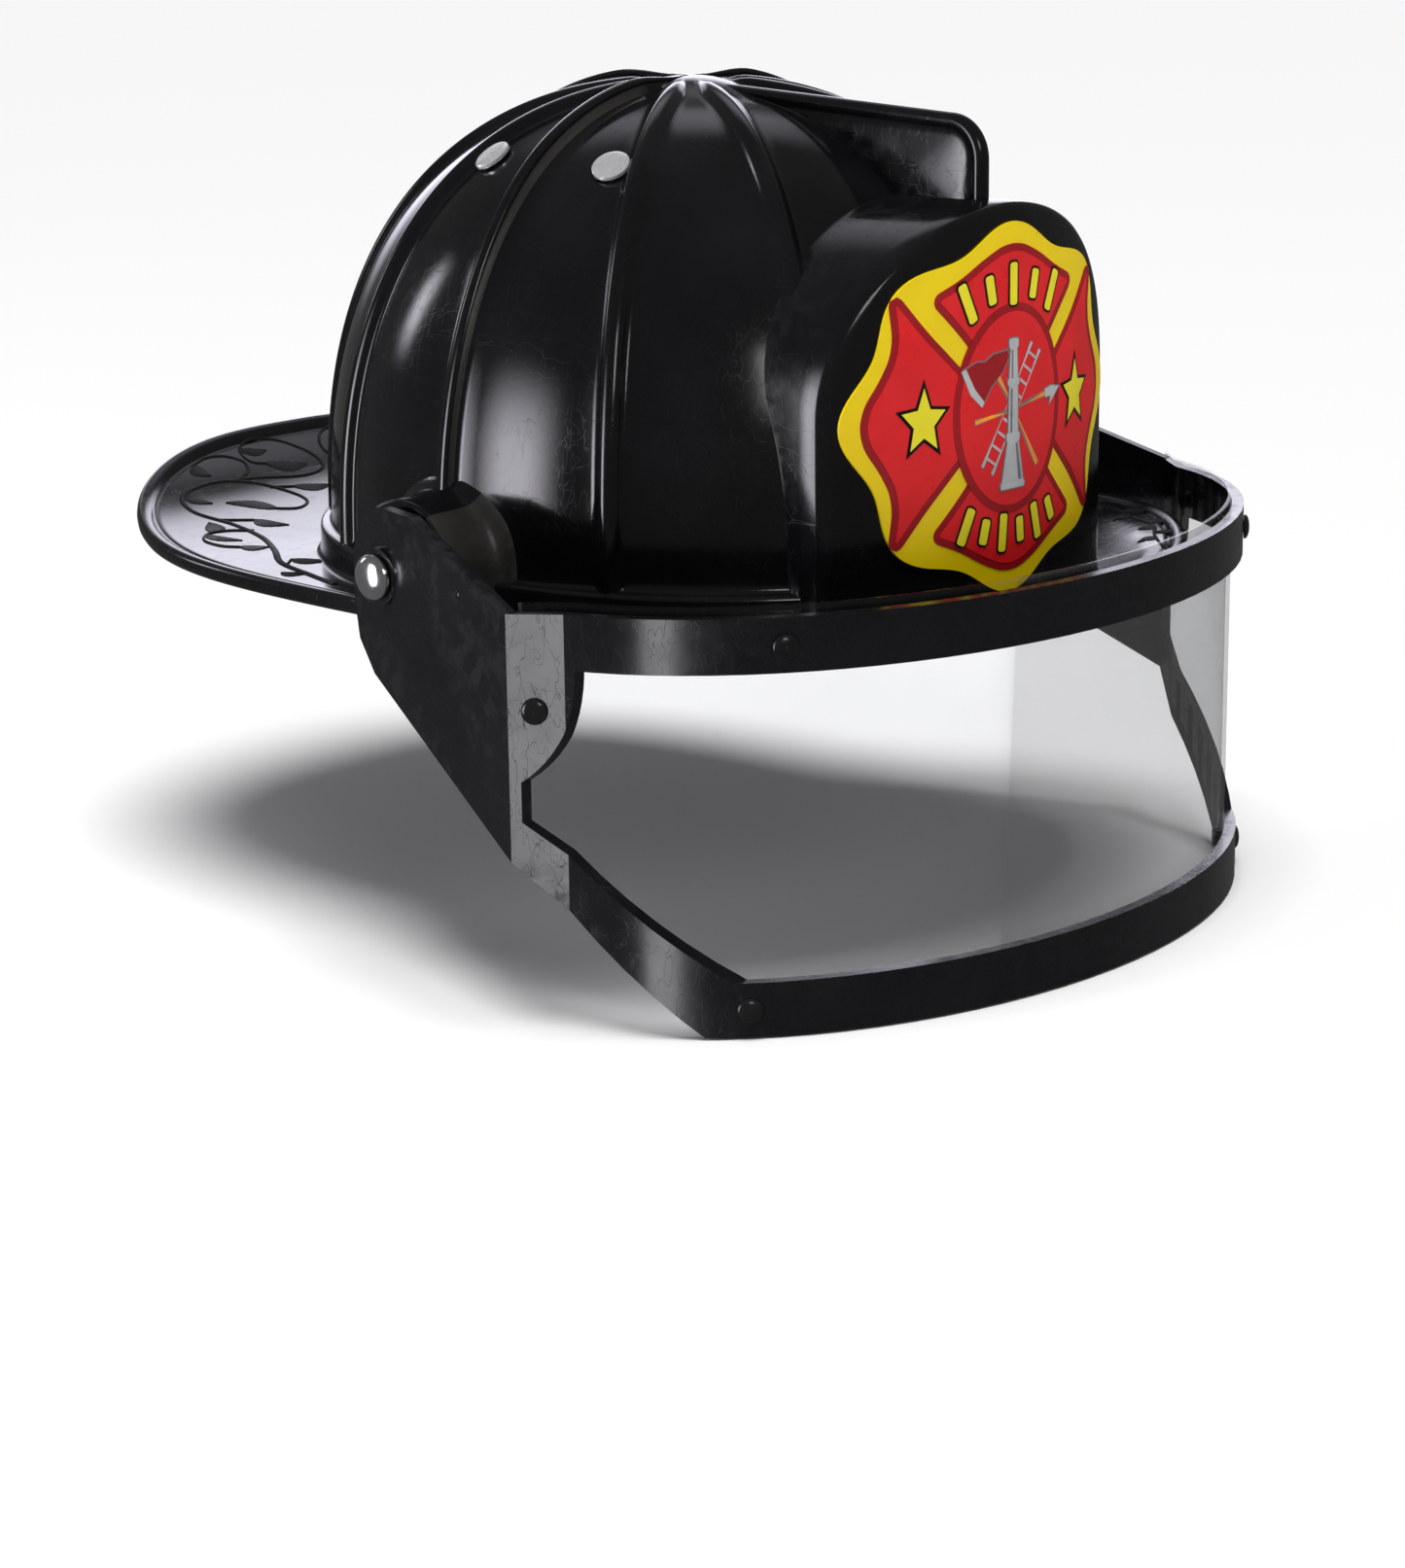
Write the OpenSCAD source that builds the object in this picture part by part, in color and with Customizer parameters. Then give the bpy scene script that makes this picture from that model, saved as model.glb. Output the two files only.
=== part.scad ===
// Toy fire helmet with a pivoting face visor.
// Units are millimetres, +Z is up, the front faces -Y and the wearer's right is -X.
// The origin is the centre of the headband, where the wearer's brow line sits.

/* [Crown] */
// Width of the crown at its foot
crown_width = 165; // [158:1:167]
// Length of the crown at its foot
crown_length = 187; // [180:1:190]
// Height of the dome above the foot band
crown_height = 103; // [92:1:112]
// Wall thickness of the moulded shell
wall = 2.4; // [1.8:0.1:3]
// Height a rib stands proud of the dome
rib_proud = 2.4; // [1.2:0.1:3.2]
// Thickness of one rib
rib_width = 4; // [2.5:0.1:6]

/* [Brim] */
// Half width of the brim behind the hinges
brim_side = 94; // [90:0.5:95]
// Half width of the brim inside the visor
brim_wide = 106; // [100:0.5:107]
// Reach of the brim in front of the crown centre
brim_front = 116; // [110:0.5:118]
// Reach of the brim behind the crown centre
brim_rear = 151; // [135:1:180]
// Rise of the rear tip of the brim
tail_rise = 15; // [0:0.5:18]
// Thickness of the brim
brim_thick = 2.6; // [2:0.1:3.2]

/* [Shield] */
// Half width of the front shield
shield_half = 50; // [46:1:54]
// Height of the shield top
shield_top = 88; // [78:1:90]
// Reach of the shield face in front of the crown centre
shield_reach = 96; // [95:0.5:97]

/* [Visor] */
// Half width over the two side plates
visor_half = 118; // [117.5:0.5:122]
// Reach of the visor in front of the crown centre
visor_reach = 127; // [126:0.5:134]
// Depth of the visor below its top edge
visor_drop = 92; // [70:1:104]
// Height of the top band
band_high = 12; // [9:0.5:15]
// Thickness of the visor frame
frame_thick = 2.8; // [2:0.1:3.2]
// Thickness of the clear lens
lens_thick = 1; // [0.6:0.1:1.4]
// Radius of the hinge rivet shank
hinge_r = 2.4; // [1.8:0.1:3]

/* [Suspension] */
// Height of the headband
headband_high = 26; // [18:1:32]
// Width of a crown strap
strap_width = 14; // [10:1:18]

/* [Fits] */
// Radial clearance of a turning pin
run_fit = 0.05; // [0.03:0.01:0.1]
// Gap between touching fixed pieces
seat_gap = 0.1; // [0.05:0.05:0.2]
// Gap between a moving piece and a fixed one
move_gap = 0.4; // [0.3:0.1:0.6]

/* [Hidden] */

round_fn = 64;
small_fn = 40;
// Foot band round the crown
brim_top = -2;
foot_low = brim_top - brim_thick;
foot_top = 5.7;
foot_proud = 2.9;
foot_steps = 72;
// Dome profile, a squared ellipse
dome_power = 2.35;
dome_steps = 14;
dome_sides = 48;
half_w = crown_width / 2;
half_l = crown_length / 2;
rib_step = 30;
rib_root = 1.2;
rib_count = 12;
hub_r = 9.5;
hub_angle = 87;
foot_sink = 3;
fin_thick = 4.4;
fin_top = foot_top + crown_height + 1.7;
fin_front = shield_reach - 7;
fin_corner = 10;
fin_back = 3;
fin_base = 30;
fin_drop = 3.6;
// Brim
brim_power = 2.8;
brim_mid = 20;
front_power = 1.8;
front_mid = -45;
tail_power = 5.5;
brim_steps = 40;
rim_width = 3;
rim_proud = 0.8;
lip_high = 4;
lip_start = -14;
// Shield
shield_round = 108;
shield_straight = 44;
shield_wall = 2.6;
shield_back = 40;
// Visor outline, seen from above and from the side
crease_y = -55;
visor_mid = -49.3;
visor_top = 10;
visor_low = visor_top - visor_drop;
visor_steps = 36;
front_span = 78.5;
strut_outer_y = -90.3;
strut_inner_y = -94.8;
crease_low = visor_low + 37.5;
strut_width_z = 9;
low_band_high = 12.2;
gusset_run = 19;
gusset_drop = 28;
gusset_back = 7;
crease_strip = 2;
crease_run = 20;
// Side plate, measured rearward from the crease along the plate
plate_toe = 15.2;
plate_mid = 55;
plate_round_z = 8.8;
plate_round_r = 15;
plate_shoulder = 42.5;
plate_chin = 61.5;
plate_chin_z = -15;
plate_rear_z = -8;
far_out = 200;
// Hinge stack, measured outward from the centre plane
hinge_y = 0;
hinge_z = 8.3;
plate_face = visor_half - (hinge_y - crease_y) * tan(plate_toe);
pad_r = 6.6;
pad_out = plate_face + 1.6;
pad_in = plate_face - frame_thick - 2;
washer_thick = 1.4;
washer_out = pad_in - move_gap;
washer_in = washer_out - washer_thick;
boss_out = washer_in - seat_gap;
boss_r = 16;
boss_y = 0;
boss_in = half_w - 8;
boss_wall = 2.6;
head_r = 5.2;
head_high = 2.6;
washer_r = 6;
retainer_r = 5;
retainer_thick = 1.6;
shank_end = boss_out - boss_wall - seat_gap - retainer_thick - 1;
// Rivets that hold the lens in the frame
lens_rivet_r = 1.5;
lens_rivet_head_r = 2.9;
lens_rivet_head = 1.3;
lens_rivet_tail = 1;
lens_rivet_tail_r = 2.5;
rivet_top_angle = 47;
rivet_top_z = 3.6;
rivet_corner_y = -59.6;
rivet_corner_z = -11;
rivet_bottom_angle = 52;
rivet_bottom_z = visor_low + 6;
lens_lip = 2;
lens_edge = 4;
lens_side = 1;
// Buttons on the crown
button_azimuth = 67.8;
button_rho = 0.595;
button_r = 4.5;
button_thick = 1.3;
button_lift = 0.2;
stem_r = 1.6;
button_ret_r = 5;
button_ret_thick = 1.3;
// Straps hang this far inside the outer dome face
strap_depth = 3.9;
strap_thick = 1.2;
strap_foot_angle = 0;
strap_steps = 16;
strap_sag = 3;
strap_cross = 3;
stud_r = 1.8;
stud_head_r = 3.2;
stud_head = 0.6;
stud_z = 12;
// Headband, nape strap and brow pad
band_w = 76.6;
band_l = 87.6;
band_thick = 1.6;
band_low = -8;
band_gap = 22;
nape_half = 34;
nape_high = 15;
nape_thick = 1.4;
peg_r = 1.6;
peg_first = 25;
peg_pitch = 4;
peg_holes = 3;
pad_thick = 4;
pad_half = 52;
pad_high = 20;
pad_z = band_low + (headband_high - pad_high) / 2;
arc_step = 2;
// Badge on the shield face
badge_thick = 0.5;
badge_half_w = 44.3;
badge_half_h = 39.5;
badge_z = 42.5;
badge_wave = 0.05;
badge_lobes = 8;
badge_steps = 96;

function ellipse_r(azimuth, rw, rl) = 1 / norm([sin(azimuth) / rw, cos(azimuth) / rl]);
function around(azimuth, rw, rl) = [
  -ellipse_r(azimuth, rw, rl) * sin(azimuth),
  -ellipse_r(azimuth, rw, rl) * cos(azimuth)
];
function dome_pt(a, r, h) = [
  r * pow(cos(a), 2 / dome_power),
  foot_top + h * pow(sin(a), 2 / dome_power)
];
function dome_side(r, h, from = 0, to = 90, steps = dome_steps) = [
  for (i = [0:steps]) dome_pt(from + (to - from) * i / steps, r, h)
];
function dome_z(rho, h) = foot_top + h * pow(1 - pow(rho, dome_power), 1 / dome_power);
function mirrored(points) = [for (p = points) [-p[0], p[1]]];
function reversed(points) = [for (i = [len(points) - 1:-1:0]) points[i]];
function signed_pow(v, p) = sign(v) * pow(abs(v), p);
function front_pt(a, grow) = [
  (brim_wide + grow) * signed_pow(sin(a), 2 / front_power),
  front_mid - (brim_front + front_mid + grow) * pow(abs(cos(a)), 2 / front_power)
];
function rear_pt(a, grow) = [
  (brim_side + grow) * signed_pow(cos(a), 2 / brim_power),
  brim_mid + (brim_rear - brim_mid + grow) * pow(abs(sin(a)), 2 / brim_power)
];
function brim_outline(grow) = concat(
  [for (i = [0:brim_steps]) front_pt(-90 + 180 * i / brim_steps, grow)],
  [for (i = [0:brim_steps]) rear_pt(180 * i / brim_steps, grow)]
);
function brim_z(y) =
  brim_top + tail_rise * pow(max(y - brim_mid, 0) / (brim_rear - brim_mid), tail_power);
function visor_pt(a, inset) = [
  (visor_half - 5.2 - inset) * sin(a),
  visor_mid - (visor_reach + visor_mid - inset) * cos(a)
];
function visor_plan(inset) = concat(
  [[-visor_half + inset + crease_run * tan(plate_toe), crease_y + crease_run]],
  [[-visor_half + inset, crease_y]],
  [for (i = [0:visor_steps]) visor_pt(-front_span + 2 * front_span * i / visor_steps, inset)],
  [[visor_half - inset, crease_y]],
  [[visor_half - inset - crease_run * tan(plate_toe), crease_y + crease_run]]
);

// Extrudes a side view drawn as [y, z] across the width, from x0 to x1
module across(x0, x1) {
  translate([x0, 0, 0])
    rotate([90, 0, 90])
      linear_extrude(height = x1 - x0)
        children();
}

module mirror_if(flip) {
  if (flip) {
    mirror([1, 0, 0]) children();
  } else {
    children();
  }
}

// Turns a piece drawn along +X to point outward at the right-hand hinge
module at_hinge(flip) {
  mirror_if(flip)
    translate([0, hinge_y, hinge_z])
      rotate([0, -90, 0])
        children();
}

// Rings of the dome from the foot up, each ring a stretched circle
module dome(inset, low) {
  side = dome_side(half_w - inset, crown_height - inset);
  rings = concat([[half_w - inset, low]], [for (i = [0:dome_steps - 1]) side[i]]);
  stretch = (half_l - inset) / (half_w - inset);
  n = dome_sides;
  last = len(rings) - 1;
  polyhedron(
    points = concat(
      [
        for (q = rings)
          for (k = [0:n - 1])
            [q[0] * cos(360 * k / n), q[0] * stretch * sin(360 * k / n), q[1]]
      ],
      [[0, 0, side[dome_steps][1]]]
    ),
    faces = concat(
      [[for (k = [0:n - 1]) k]],
      [
        for (j = [0:last - 1])
          for (k = [0:n - 1])
            each [
              [j * n + k, (j + 1) * n + k, (j + 1) * n + (k + 1) % n],
              [j * n + k, (j + 1) * n + (k + 1) % n, j * n + (k + 1) % n]
            ]
      ],
      [for (k = [0:n - 1]) [last * n + k, (last + 1) * n, last * n + (k + 1) % n]]
    )
  );
}

// The band stops behind the face of the shield
module foot_ring(grow, low, high) {
  translate([0, 0, low])
    linear_extrude(height = high - low)
      intersection() {
        polygon([
          for (i = [0:foot_steps - 1])
            around(360 * i / foot_steps, half_w + grow, half_l + grow)
        ]);
        translate([-far_out, 1 - shield_reach]) square(far_out * 2);
      }
}

// Stands a shape drawn as [distance, z] upright in the plane at an azimuth
module upright(azimuth, thick) {
  rotate([90, 0, 90 - azimuth])
    translate([0, 0, -thick / 2])
      linear_extrude(height = thick)
        children();
}

// A rib runs from the foot band up to the hub at the top of the crown
module rib(azimuth) {
  r = ellipse_r(azimuth, half_w, half_l);
  outer = dome_side(r + rib_proud, crown_height + rib_proud, 0, hub_angle);
  inner = dome_side(r - rib_root, crown_height - rib_root, 0, hub_angle);
  upright(azimuth + 180, rib_width)
    polygon(concat(
      [[r - rib_root, foot_top - foot_sink], [r + rib_proud, foot_top - foot_sink]],
      outer, reversed(inner)
    ));
}

module hub() {
  translate([0, 0, foot_top + crown_height - rib_root])
    cylinder(r = hub_r, h = rib_root + rib_proud, $fn = round_fn);
}

module fin() {
  across(-fin_thick / 2, fin_thick / 2)
    union() {
      polygon([
        [fin_back, foot_top + fin_base],
        [fin_back, fin_top],
        [-fin_front + fin_corner, fin_top - fin_drop],
        [-fin_front + fin_corner, fin_top - fin_drop - fin_corner],
        [-fin_front, fin_top - fin_drop - fin_corner],
        [-fin_front, foot_top + fin_base]
      ]);
      translate([-fin_front + fin_corner, fin_top - fin_drop - fin_corner])
        circle(r = fin_corner, $fn = small_fn);
    }
}

module shield_outline(inset) {
  top = shield_top - inset;
  half = shield_half - inset;
  polygon(concat(
    [[-half, foot_low], [half, foot_low]],
    [
      for (i = [0:dome_steps])
        [half * cos(180 * i / dome_steps),
         shield_straight + (top - shield_straight) * sin(180 * i / dome_steps)]
    ]
  ));
}

module shield_block(inset, low) {
  intersection() {
    rotate([90, 0, 0])
      translate([0, 0, shield_back])
        linear_extrude(height = shield_round)
          shield_outline(inset);
    translate([0, shield_round - shield_reach, low])
      cylinder(r = shield_round - inset, h = shield_top * 2, $fn = round_fn * 2);
  }
}

// The rim stands up as a lip in front of the hinges
module brim_lip() {
  translate([0, 0, brim_top - 1])
    linear_extrude(height = lip_high + 1)
      difference() {
        polygon(brim_outline(0));
        polygon(brim_outline(-rim_width / 2));
        translate([-far_out, lip_start]) square(far_out * 2);
      }
}

module brim() {
  brim_lip();
  intersection() {
    translate([0, 0, foot_low * 4])
      linear_extrude(height = tail_rise - foot_low * 6)
        polygon(brim_outline(-rim_width / 2));
    across(-far_out, far_out)
      polygon(concat(
        [for (i = [0:brim_steps]) brim_section(i, 0)],
        [for (i = [brim_steps:-1:0]) brim_section(i, -brim_thick)]
      ));
  }
  intersection() {
    translate([0, 0, foot_low * 4])
      linear_extrude(height = tail_rise - foot_low * 6)
        difference() {
          polygon(brim_outline(0));
          polygon(brim_outline(-rim_width));
        }
    across(-far_out, far_out)
      polygon(concat(
        [for (i = [0:brim_steps]) brim_section(i, rim_proud)],
        [for (i = [brim_steps:-1:0]) brim_section(i, -brim_thick - rim_proud)]
      ));
  }
}

function brim_section(i, lift) =
  let (y = -brim_front - 1 + (brim_front + brim_rear + 2) * i / brim_steps)
    [y, brim_z(y) + lift];

module boss_block(inset, inner, low) {
  across(-boss_out + inset, -inner)
    intersection() {
      union() {
        translate([boss_y, hinge_z])
          circle(r = boss_r - inset, $fn = round_fn);
        translate([boss_y - boss_r + inset, low])
          square([2 * (boss_r - inset), hinge_z - low]);
      }
      translate([boss_y - boss_r, low]) square(far_out);
    }
}

module shell_skin() {
  dome(0, foot_low / 2);
  foot_ring(foot_proud, foot_low, foot_top);
  for (i = [1:rib_count - 1]) rib(i * rib_step);
  hub();
  fin();
  shield_block(0, foot_low);
  brim();
  for (flip = [false, true]) mirror_if(flip) boss_block(0, boss_in, foot_low);
}

module button_frame(azimuth) {
  rw = half_w;
  p = button_rho * around(azimuth, rw, half_l);
  h = pow(1 - pow(button_rho, dome_power), 1 / dome_power);
  slope_x = pow(button_rho, dome_power - 2) * p[0] / (rw * rw);
  slope_y = pow(button_rho, dome_power - 2) * p[1] / (half_l * half_l);
  slope_z = pow(h, dome_power - 1) / crown_height;
  translate([p[0], p[1], foot_top + crown_height * h])
    rotate([0, atan2(norm([slope_x, slope_y]), slope_z), atan2(slope_y, slope_x)])
      children();
}

module helmet_shell() {
  color("#15161a")
    difference() {
      shell_skin();
      dome(wall, foot_low - 1);
      shield_block(shield_wall, foot_low - 1);
      for (flip = [false, true]) {
        mirror_if(flip) boss_block(boss_wall, half_w + foot_proud + 1, foot_low - 1);
        at_hinge(flip)
          cylinder(r = hinge_r + run_fit, h = far_out, $fn = small_fn);
      }
      for (a = [button_azimuth, 180 - button_azimuth, 180 + button_azimuth, -button_azimuth])
        button_frame(a)
          translate([0, 0, -wall * 3])
            cylinder(r = stem_r + seat_gap, h = wall * 5, $fn = small_fn);
    }
}

module badge_outline() {
  polygon([
    for (i = [0:badge_steps - 1])
      let (a = 360 * i / badge_steps, wave = 1 + badge_wave * cos(badge_lobes * a))
        [badge_half_w * wave * cos(a), badge_z + badge_half_h * wave * sin(a)]
  ]);
}

module badge_sticker() {
  color("#e8b90a")
    intersection() {
      rotate([90, 0, 0])
        translate([0, 0, shield_back])
          linear_extrude(height = shield_round)
            badge_outline();
      translate([0, shield_round - shield_reach, -shield_top])
        difference() {
          cylinder(
            r = shield_round + seat_gap + badge_thick, h = shield_top * 3, $fn = round_fn * 2
          );
          translate([0, 0, -1])
            cylinder(r = shield_round + seat_gap, h = shield_top * 4, $fn = round_fn * 2);
        }
    }
}

module visor_wall(outer, inner, low, high) {
  translate([0, 0, low])
    linear_extrude(height = high - low)
      difference() {
        polygon(visor_plan(outer));
        translate([0, seat_gap]) polygon(visor_plan(inner));
      }
}

module front_mask(grow) {
  polygon([
    [crease_y, visor_top + grow],
    [-far_out, visor_top + grow],
    [-far_out, visor_low - grow],
    [strut_outer_y, visor_low - grow],
    [crease_y, crease_low - grow]
  ]);
}

module window_mask() {
  difference() {
    polygon([
      [crease_y - crease_strip, visor_top - band_high],
      [-far_out, visor_top - band_high],
      [-far_out, visor_low + low_band_high],
      [strut_inner_y, visor_low + low_band_high],
      [crease_y - crease_strip, crease_low + strut_width_z]
    ]);
    translate([crease_y + gusset_back, visor_top - band_high])
      scale([gusset_run / gusset_drop, 1])
        circle(r = gusset_drop, $fn = round_fn);
  }
}

module plate_outline() {
  translate([plate_mid, plate_round_z])
    circle(r = plate_round_r, $fn = round_fn);
  polygon([
    [0, visor_top],
    [plate_shoulder, plate_round_z + plate_round_r],
    [plate_mid, plate_round_z + plate_round_r],
    [plate_mid + plate_round_r, plate_round_z],
    [plate_mid + plate_round_r, 0],
    [plate_mid + plate_round_r - 1.8, plate_rear_z],
    [plate_chin, plate_chin_z],
    [0, crease_low]
  ]);
}

module side_plate() {
  translate([-visor_half, crease_y, 0])
    rotate([0, 0, -plate_toe])
      across(0, frame_thick)
        plate_outline();
  at_hinge(false)
    translate([0, 0, pad_in])
      cylinder(r = pad_r, h = pad_out - pad_in, $fn = small_fn);
}

module visor_frame() {
  color("#1b1c20")
    difference() {
      union() {
        intersection() {
          visor_wall(0, frame_thick, visor_low, visor_top);
          across(-far_out, far_out)
            difference() {
              front_mask(0);
              window_mask();
            }
        }
        for (flip = [false, true]) mirror_if(flip) side_plate();
      }
      for (flip = [false, true])
        at_hinge(flip)
          translate([0, 0, pad_in - 1])
            cylinder(r = hinge_r + run_fit, h = pad_out - pad_in + 4, $fn = small_fn);
      lens_rivet_holes();
    }
}

module visor_lens() {
  color("#dfe9f2", 0.35)
    difference() {
      intersection() {
        visor_wall(
          frame_thick + seat_gap, frame_thick + seat_gap + lens_thick,
          visor_low, visor_top + lens_lip
        );
        across(-far_out, far_out)
          polygon([
            [crease_y - lens_side, visor_top + lens_lip],
            [-far_out, visor_top + lens_lip],
            [-far_out, visor_low + lens_edge],
            [strut_outer_y - 1, visor_low + lens_edge],
            [crease_y - lens_side, crease_low + lens_edge]
          ]);
      }
      lens_rivet_holes();
    }
}

// Local +Z points straight out of the visor wall, with z = 0 on its outer face
module at_front_rivet(angle, z) {
  p = visor_pt(-angle, 0);
  turn = atan2(sin(angle) / (visor_half - 5.2), cos(angle) / (visor_reach + visor_mid));
  translate([p[0], p[1], z])
    rotate([0, 0, -turn])
      rotate([90, 0, 0])
        children();
}

module at_corner_rivet() {
  q = visor_pt(-front_span, 0);
  dx = q[0] + visor_half;
  dy = q[1] - crease_y;
  along = (rivet_corner_y - crease_y) / dy;
  translate([-visor_half + dx * along, rivet_corner_y, rivet_corner_z])
    rotate([0, 0, -atan2(-dy, dx)])
      rotate([90, 0, 0])
        children();
}

module at_lens_rivet(kind, flip) {
  mirror_if(flip) {
    if (kind == "top") at_front_rivet(rivet_top_angle, rivet_top_z) children();
    if (kind == "corner") at_corner_rivet() children();
    if (kind == "bottom") at_front_rivet(rivet_bottom_angle, rivet_bottom_z) children();
  }
}

module lens_rivet_holes() {
  for (kind = ["top", "corner", "bottom"])
    for (flip = [false, true])
      at_lens_rivet(kind, flip)
        translate([0, 0, -frame_thick * 2])
          cylinder(r = lens_rivet_r + seat_gap, h = frame_thick * 4, $fn = small_fn);
}

module lens_rivet(kind, flip) {
  depth = frame_thick + seat_gap * 2 + lens_thick;
  color("#101114")
    at_lens_rivet(kind, flip)
      rotate_extrude($fn = small_fn)
        polygon([
          [0, -depth - lens_rivet_tail],
          [lens_rivet_tail_r, -depth - lens_rivet_tail],
          [lens_rivet_tail_r, -depth],
          [lens_rivet_r, -depth],
          [lens_rivet_r, seat_gap],
          [lens_rivet_head_r, seat_gap],
          [lens_rivet_head_r * 0.9, lens_rivet_head * 0.6],
          [lens_rivet_head_r * 0.5, lens_rivet_head],
          [0, lens_rivet_head + seat_gap]
        ]);
}

module hinge_rivet(flip) {
  color("#c9ccd1")
    at_hinge(flip)
      rotate_extrude($fn = small_fn)
        polygon([
          [0, shank_end],
          [hinge_r, shank_end],
          [hinge_r, pad_out + move_gap],
          [head_r, pad_out + move_gap],
          [head_r * 0.95, pad_out + move_gap + head_high * 0.45],
          [head_r * 0.7, pad_out + move_gap + head_high * 0.8],
          [head_r * 0.35, pad_out + move_gap + head_high * 0.97],
          [0, pad_out + move_gap + head_high]
        ]);
}

module ring_piece(r, bore, thick) {
  difference() {
    cylinder(r = r, h = thick, $fn = small_fn);
    translate([0, 0, -1]) cylinder(r = bore, h = thick + 2, $fn = small_fn);
  }
}

module hinge_washer(flip) {
  color("#d8d8d4")
    at_hinge(flip)
      translate([0, 0, washer_in])
        ring_piece(washer_r, hinge_r + run_fit, washer_thick);
}

module hinge_retainer(flip) {
  color("#9fa3a8")
    at_hinge(flip)
      translate([0, 0, boss_out - boss_wall - seat_gap - retainer_thick])
        ring_piece(retainer_r, hinge_r + run_fit / 2, retainer_thick);
}

module crown_button(azimuth) {
  color("#c9ccd1")
    button_frame(azimuth)
      union() {
        translate([0, 0, button_lift + seat_gap])
          cylinder(r = button_r, h = button_thick, $fn = small_fn);
        translate([0, 0, -strap_depth - strap_thick - button_ret_thick - 1.4])
          cylinder(
            r = stem_r,
            h = strap_depth + strap_thick + button_ret_thick + 1.6 + button_lift,
            $fn = small_fn
          );
      }
}

module button_retainer(azimuth) {
  color("#e6e6e2")
    button_frame(azimuth)
      translate([0, 0, -strap_depth - strap_thick - button_ret_thick - 0.9])
        ring_piece(button_ret_r, stem_r + run_fit / 2, button_ret_thick);
}

// Strap drawn as [distance from the axis, z] for one half, centre to foot
function strap_half(azimuth, depth, sag) = concat(
  [[0, dome_z(button_rho, crown_height - depth) - sag]],
  dome_side(
    ellipse_r(azimuth, half_w - depth, half_l - depth), crown_height - depth,
    button_angle + 6, strap_foot_angle, strap_steps
  )
);
button_angle = acos(pow(button_rho, dome_power / 2));

module crown_strap(azimuth, sag) {
  outer = strap_half(azimuth, strap_depth, sag);
  inner = strap_half(azimuth, strap_depth + strap_thick, sag);
  color("#2a2b2e")
    difference() {
      upright(azimuth, strap_width)
        polygon(concat(outer, reversed(inner), mirrored(inner), reversed(mirrored(outer))));
      for (a = [azimuth, azimuth + 180]) {
        button_frame(a)
          translate([0, 0, -strap_depth * 3])
            cylinder(r = stem_r + seat_gap, h = strap_depth * 4, $fn = small_fn);
        at_stud(a)
          cylinder(r = stud_r + seat_gap, h = half_w, $fn = small_fn);
      }
    }
}

// Local +Z points outward from the headband
module at_stud(azimuth) {
  r = ellipse_r(azimuth, band_w, band_l);
  rotate([0, 0, -azimuth])
    translate([0, -r + band_thick / 2, stud_z])
      rotate([90, 0, 0])
        children();
}

module band_arc(from, to, rw, rl, thick, low, high) {
  translate([0, 0, low])
    linear_extrude(height = high)
      polygon(concat(
        [for (a = [from:arc_step:to]) around(a, rw, rl)],
        [for (a = [to:-arc_step:from]) around(a, rw - thick, rl - thick)]
      ));
}

module peg_places(count) {
  for (side = [-1, 1])
    for (i = [0:count - 1])
      rotate([0, 0, -(180 + side * (peg_first + i * peg_pitch))])
        translate([0, -band_l, band_low + headband_high / 2])
          rotate([90, 0, 0])
            children();
}

module headband() {
  color("#2b2c30")
    union() {
      difference() {
        band_arc(
          -180 + band_gap, 180 - band_gap, band_w, band_l, band_thick, band_low, headband_high
        );
        peg_places(peg_holes)
          translate([0, 0, -10])
            cylinder(r = peg_r + seat_gap, h = 20, $fn = small_fn);
      }
      for (a = [button_azimuth, 180 - button_azimuth, 180 + button_azimuth, -button_azimuth])
        at_stud(a) {
          reach = ellipse_r(a, half_w - strap_depth, half_l - strap_depth)
            - ellipse_r(a, band_w, band_l) + band_thick / 2 + seat_gap * 2;
          cylinder(r = stud_r, h = reach, $fn = small_fn);
          translate([0, 0, reach])
            cylinder(r = stud_head_r, h = stud_head, $fn = small_fn);
        }
    }
}

module nape_strap() {
  color("#2b2c30")
    union() {
      band_arc(
        180 - nape_half, 180 + nape_half,
        band_w + seat_gap + nape_thick, band_l + seat_gap + nape_thick,
        nape_thick, band_low + (headband_high - nape_high) / 2, nape_high
      );
      peg_places(1)
        translate([0, 0, -3.4])
          cylinder(r = peg_r, h = 3.9, $fn = small_fn);
    }
}

module brow_pad() {
  color("#3c3f45")
    band_arc(
      -pad_half, pad_half,
      band_w - band_thick - seat_gap, band_l - band_thick - seat_gap,
      pad_thick, pad_z, pad_high
    );
}

helmet_shell();
badge_sticker();
visor_frame();
visor_lens();
lens_rivet("top", false);  // visor_rivet_top_right
lens_rivet("top", true);  // visor_rivet_top_left
lens_rivet("corner", false);  // visor_rivet_corner_right
lens_rivet("corner", true);  // visor_rivet_corner_left
lens_rivet("bottom", false);  // visor_rivet_bottom_right
lens_rivet("bottom", true);  // visor_rivet_bottom_left
hinge_rivet(false);  // hinge_rivet_right
hinge_rivet(true);  // hinge_rivet_left
hinge_washer(false);  // hinge_washer_right
hinge_washer(true);  // hinge_washer_left
hinge_retainer(false);  // hinge_retainer_right
hinge_retainer(true);  // hinge_retainer_left
crown_button(button_azimuth);  // crown_button_front_right
crown_button(-button_azimuth);  // crown_button_front_left
crown_button(180 - button_azimuth);  // crown_button_rear_right
crown_button(180 + button_azimuth);  // crown_button_rear_left
button_retainer(button_azimuth);  // button_retainer_front_right
button_retainer(-button_azimuth);  // button_retainer_front_left
button_retainer(180 - button_azimuth);  // button_retainer_rear_right
button_retainer(180 + button_azimuth);  // button_retainer_rear_left
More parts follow.
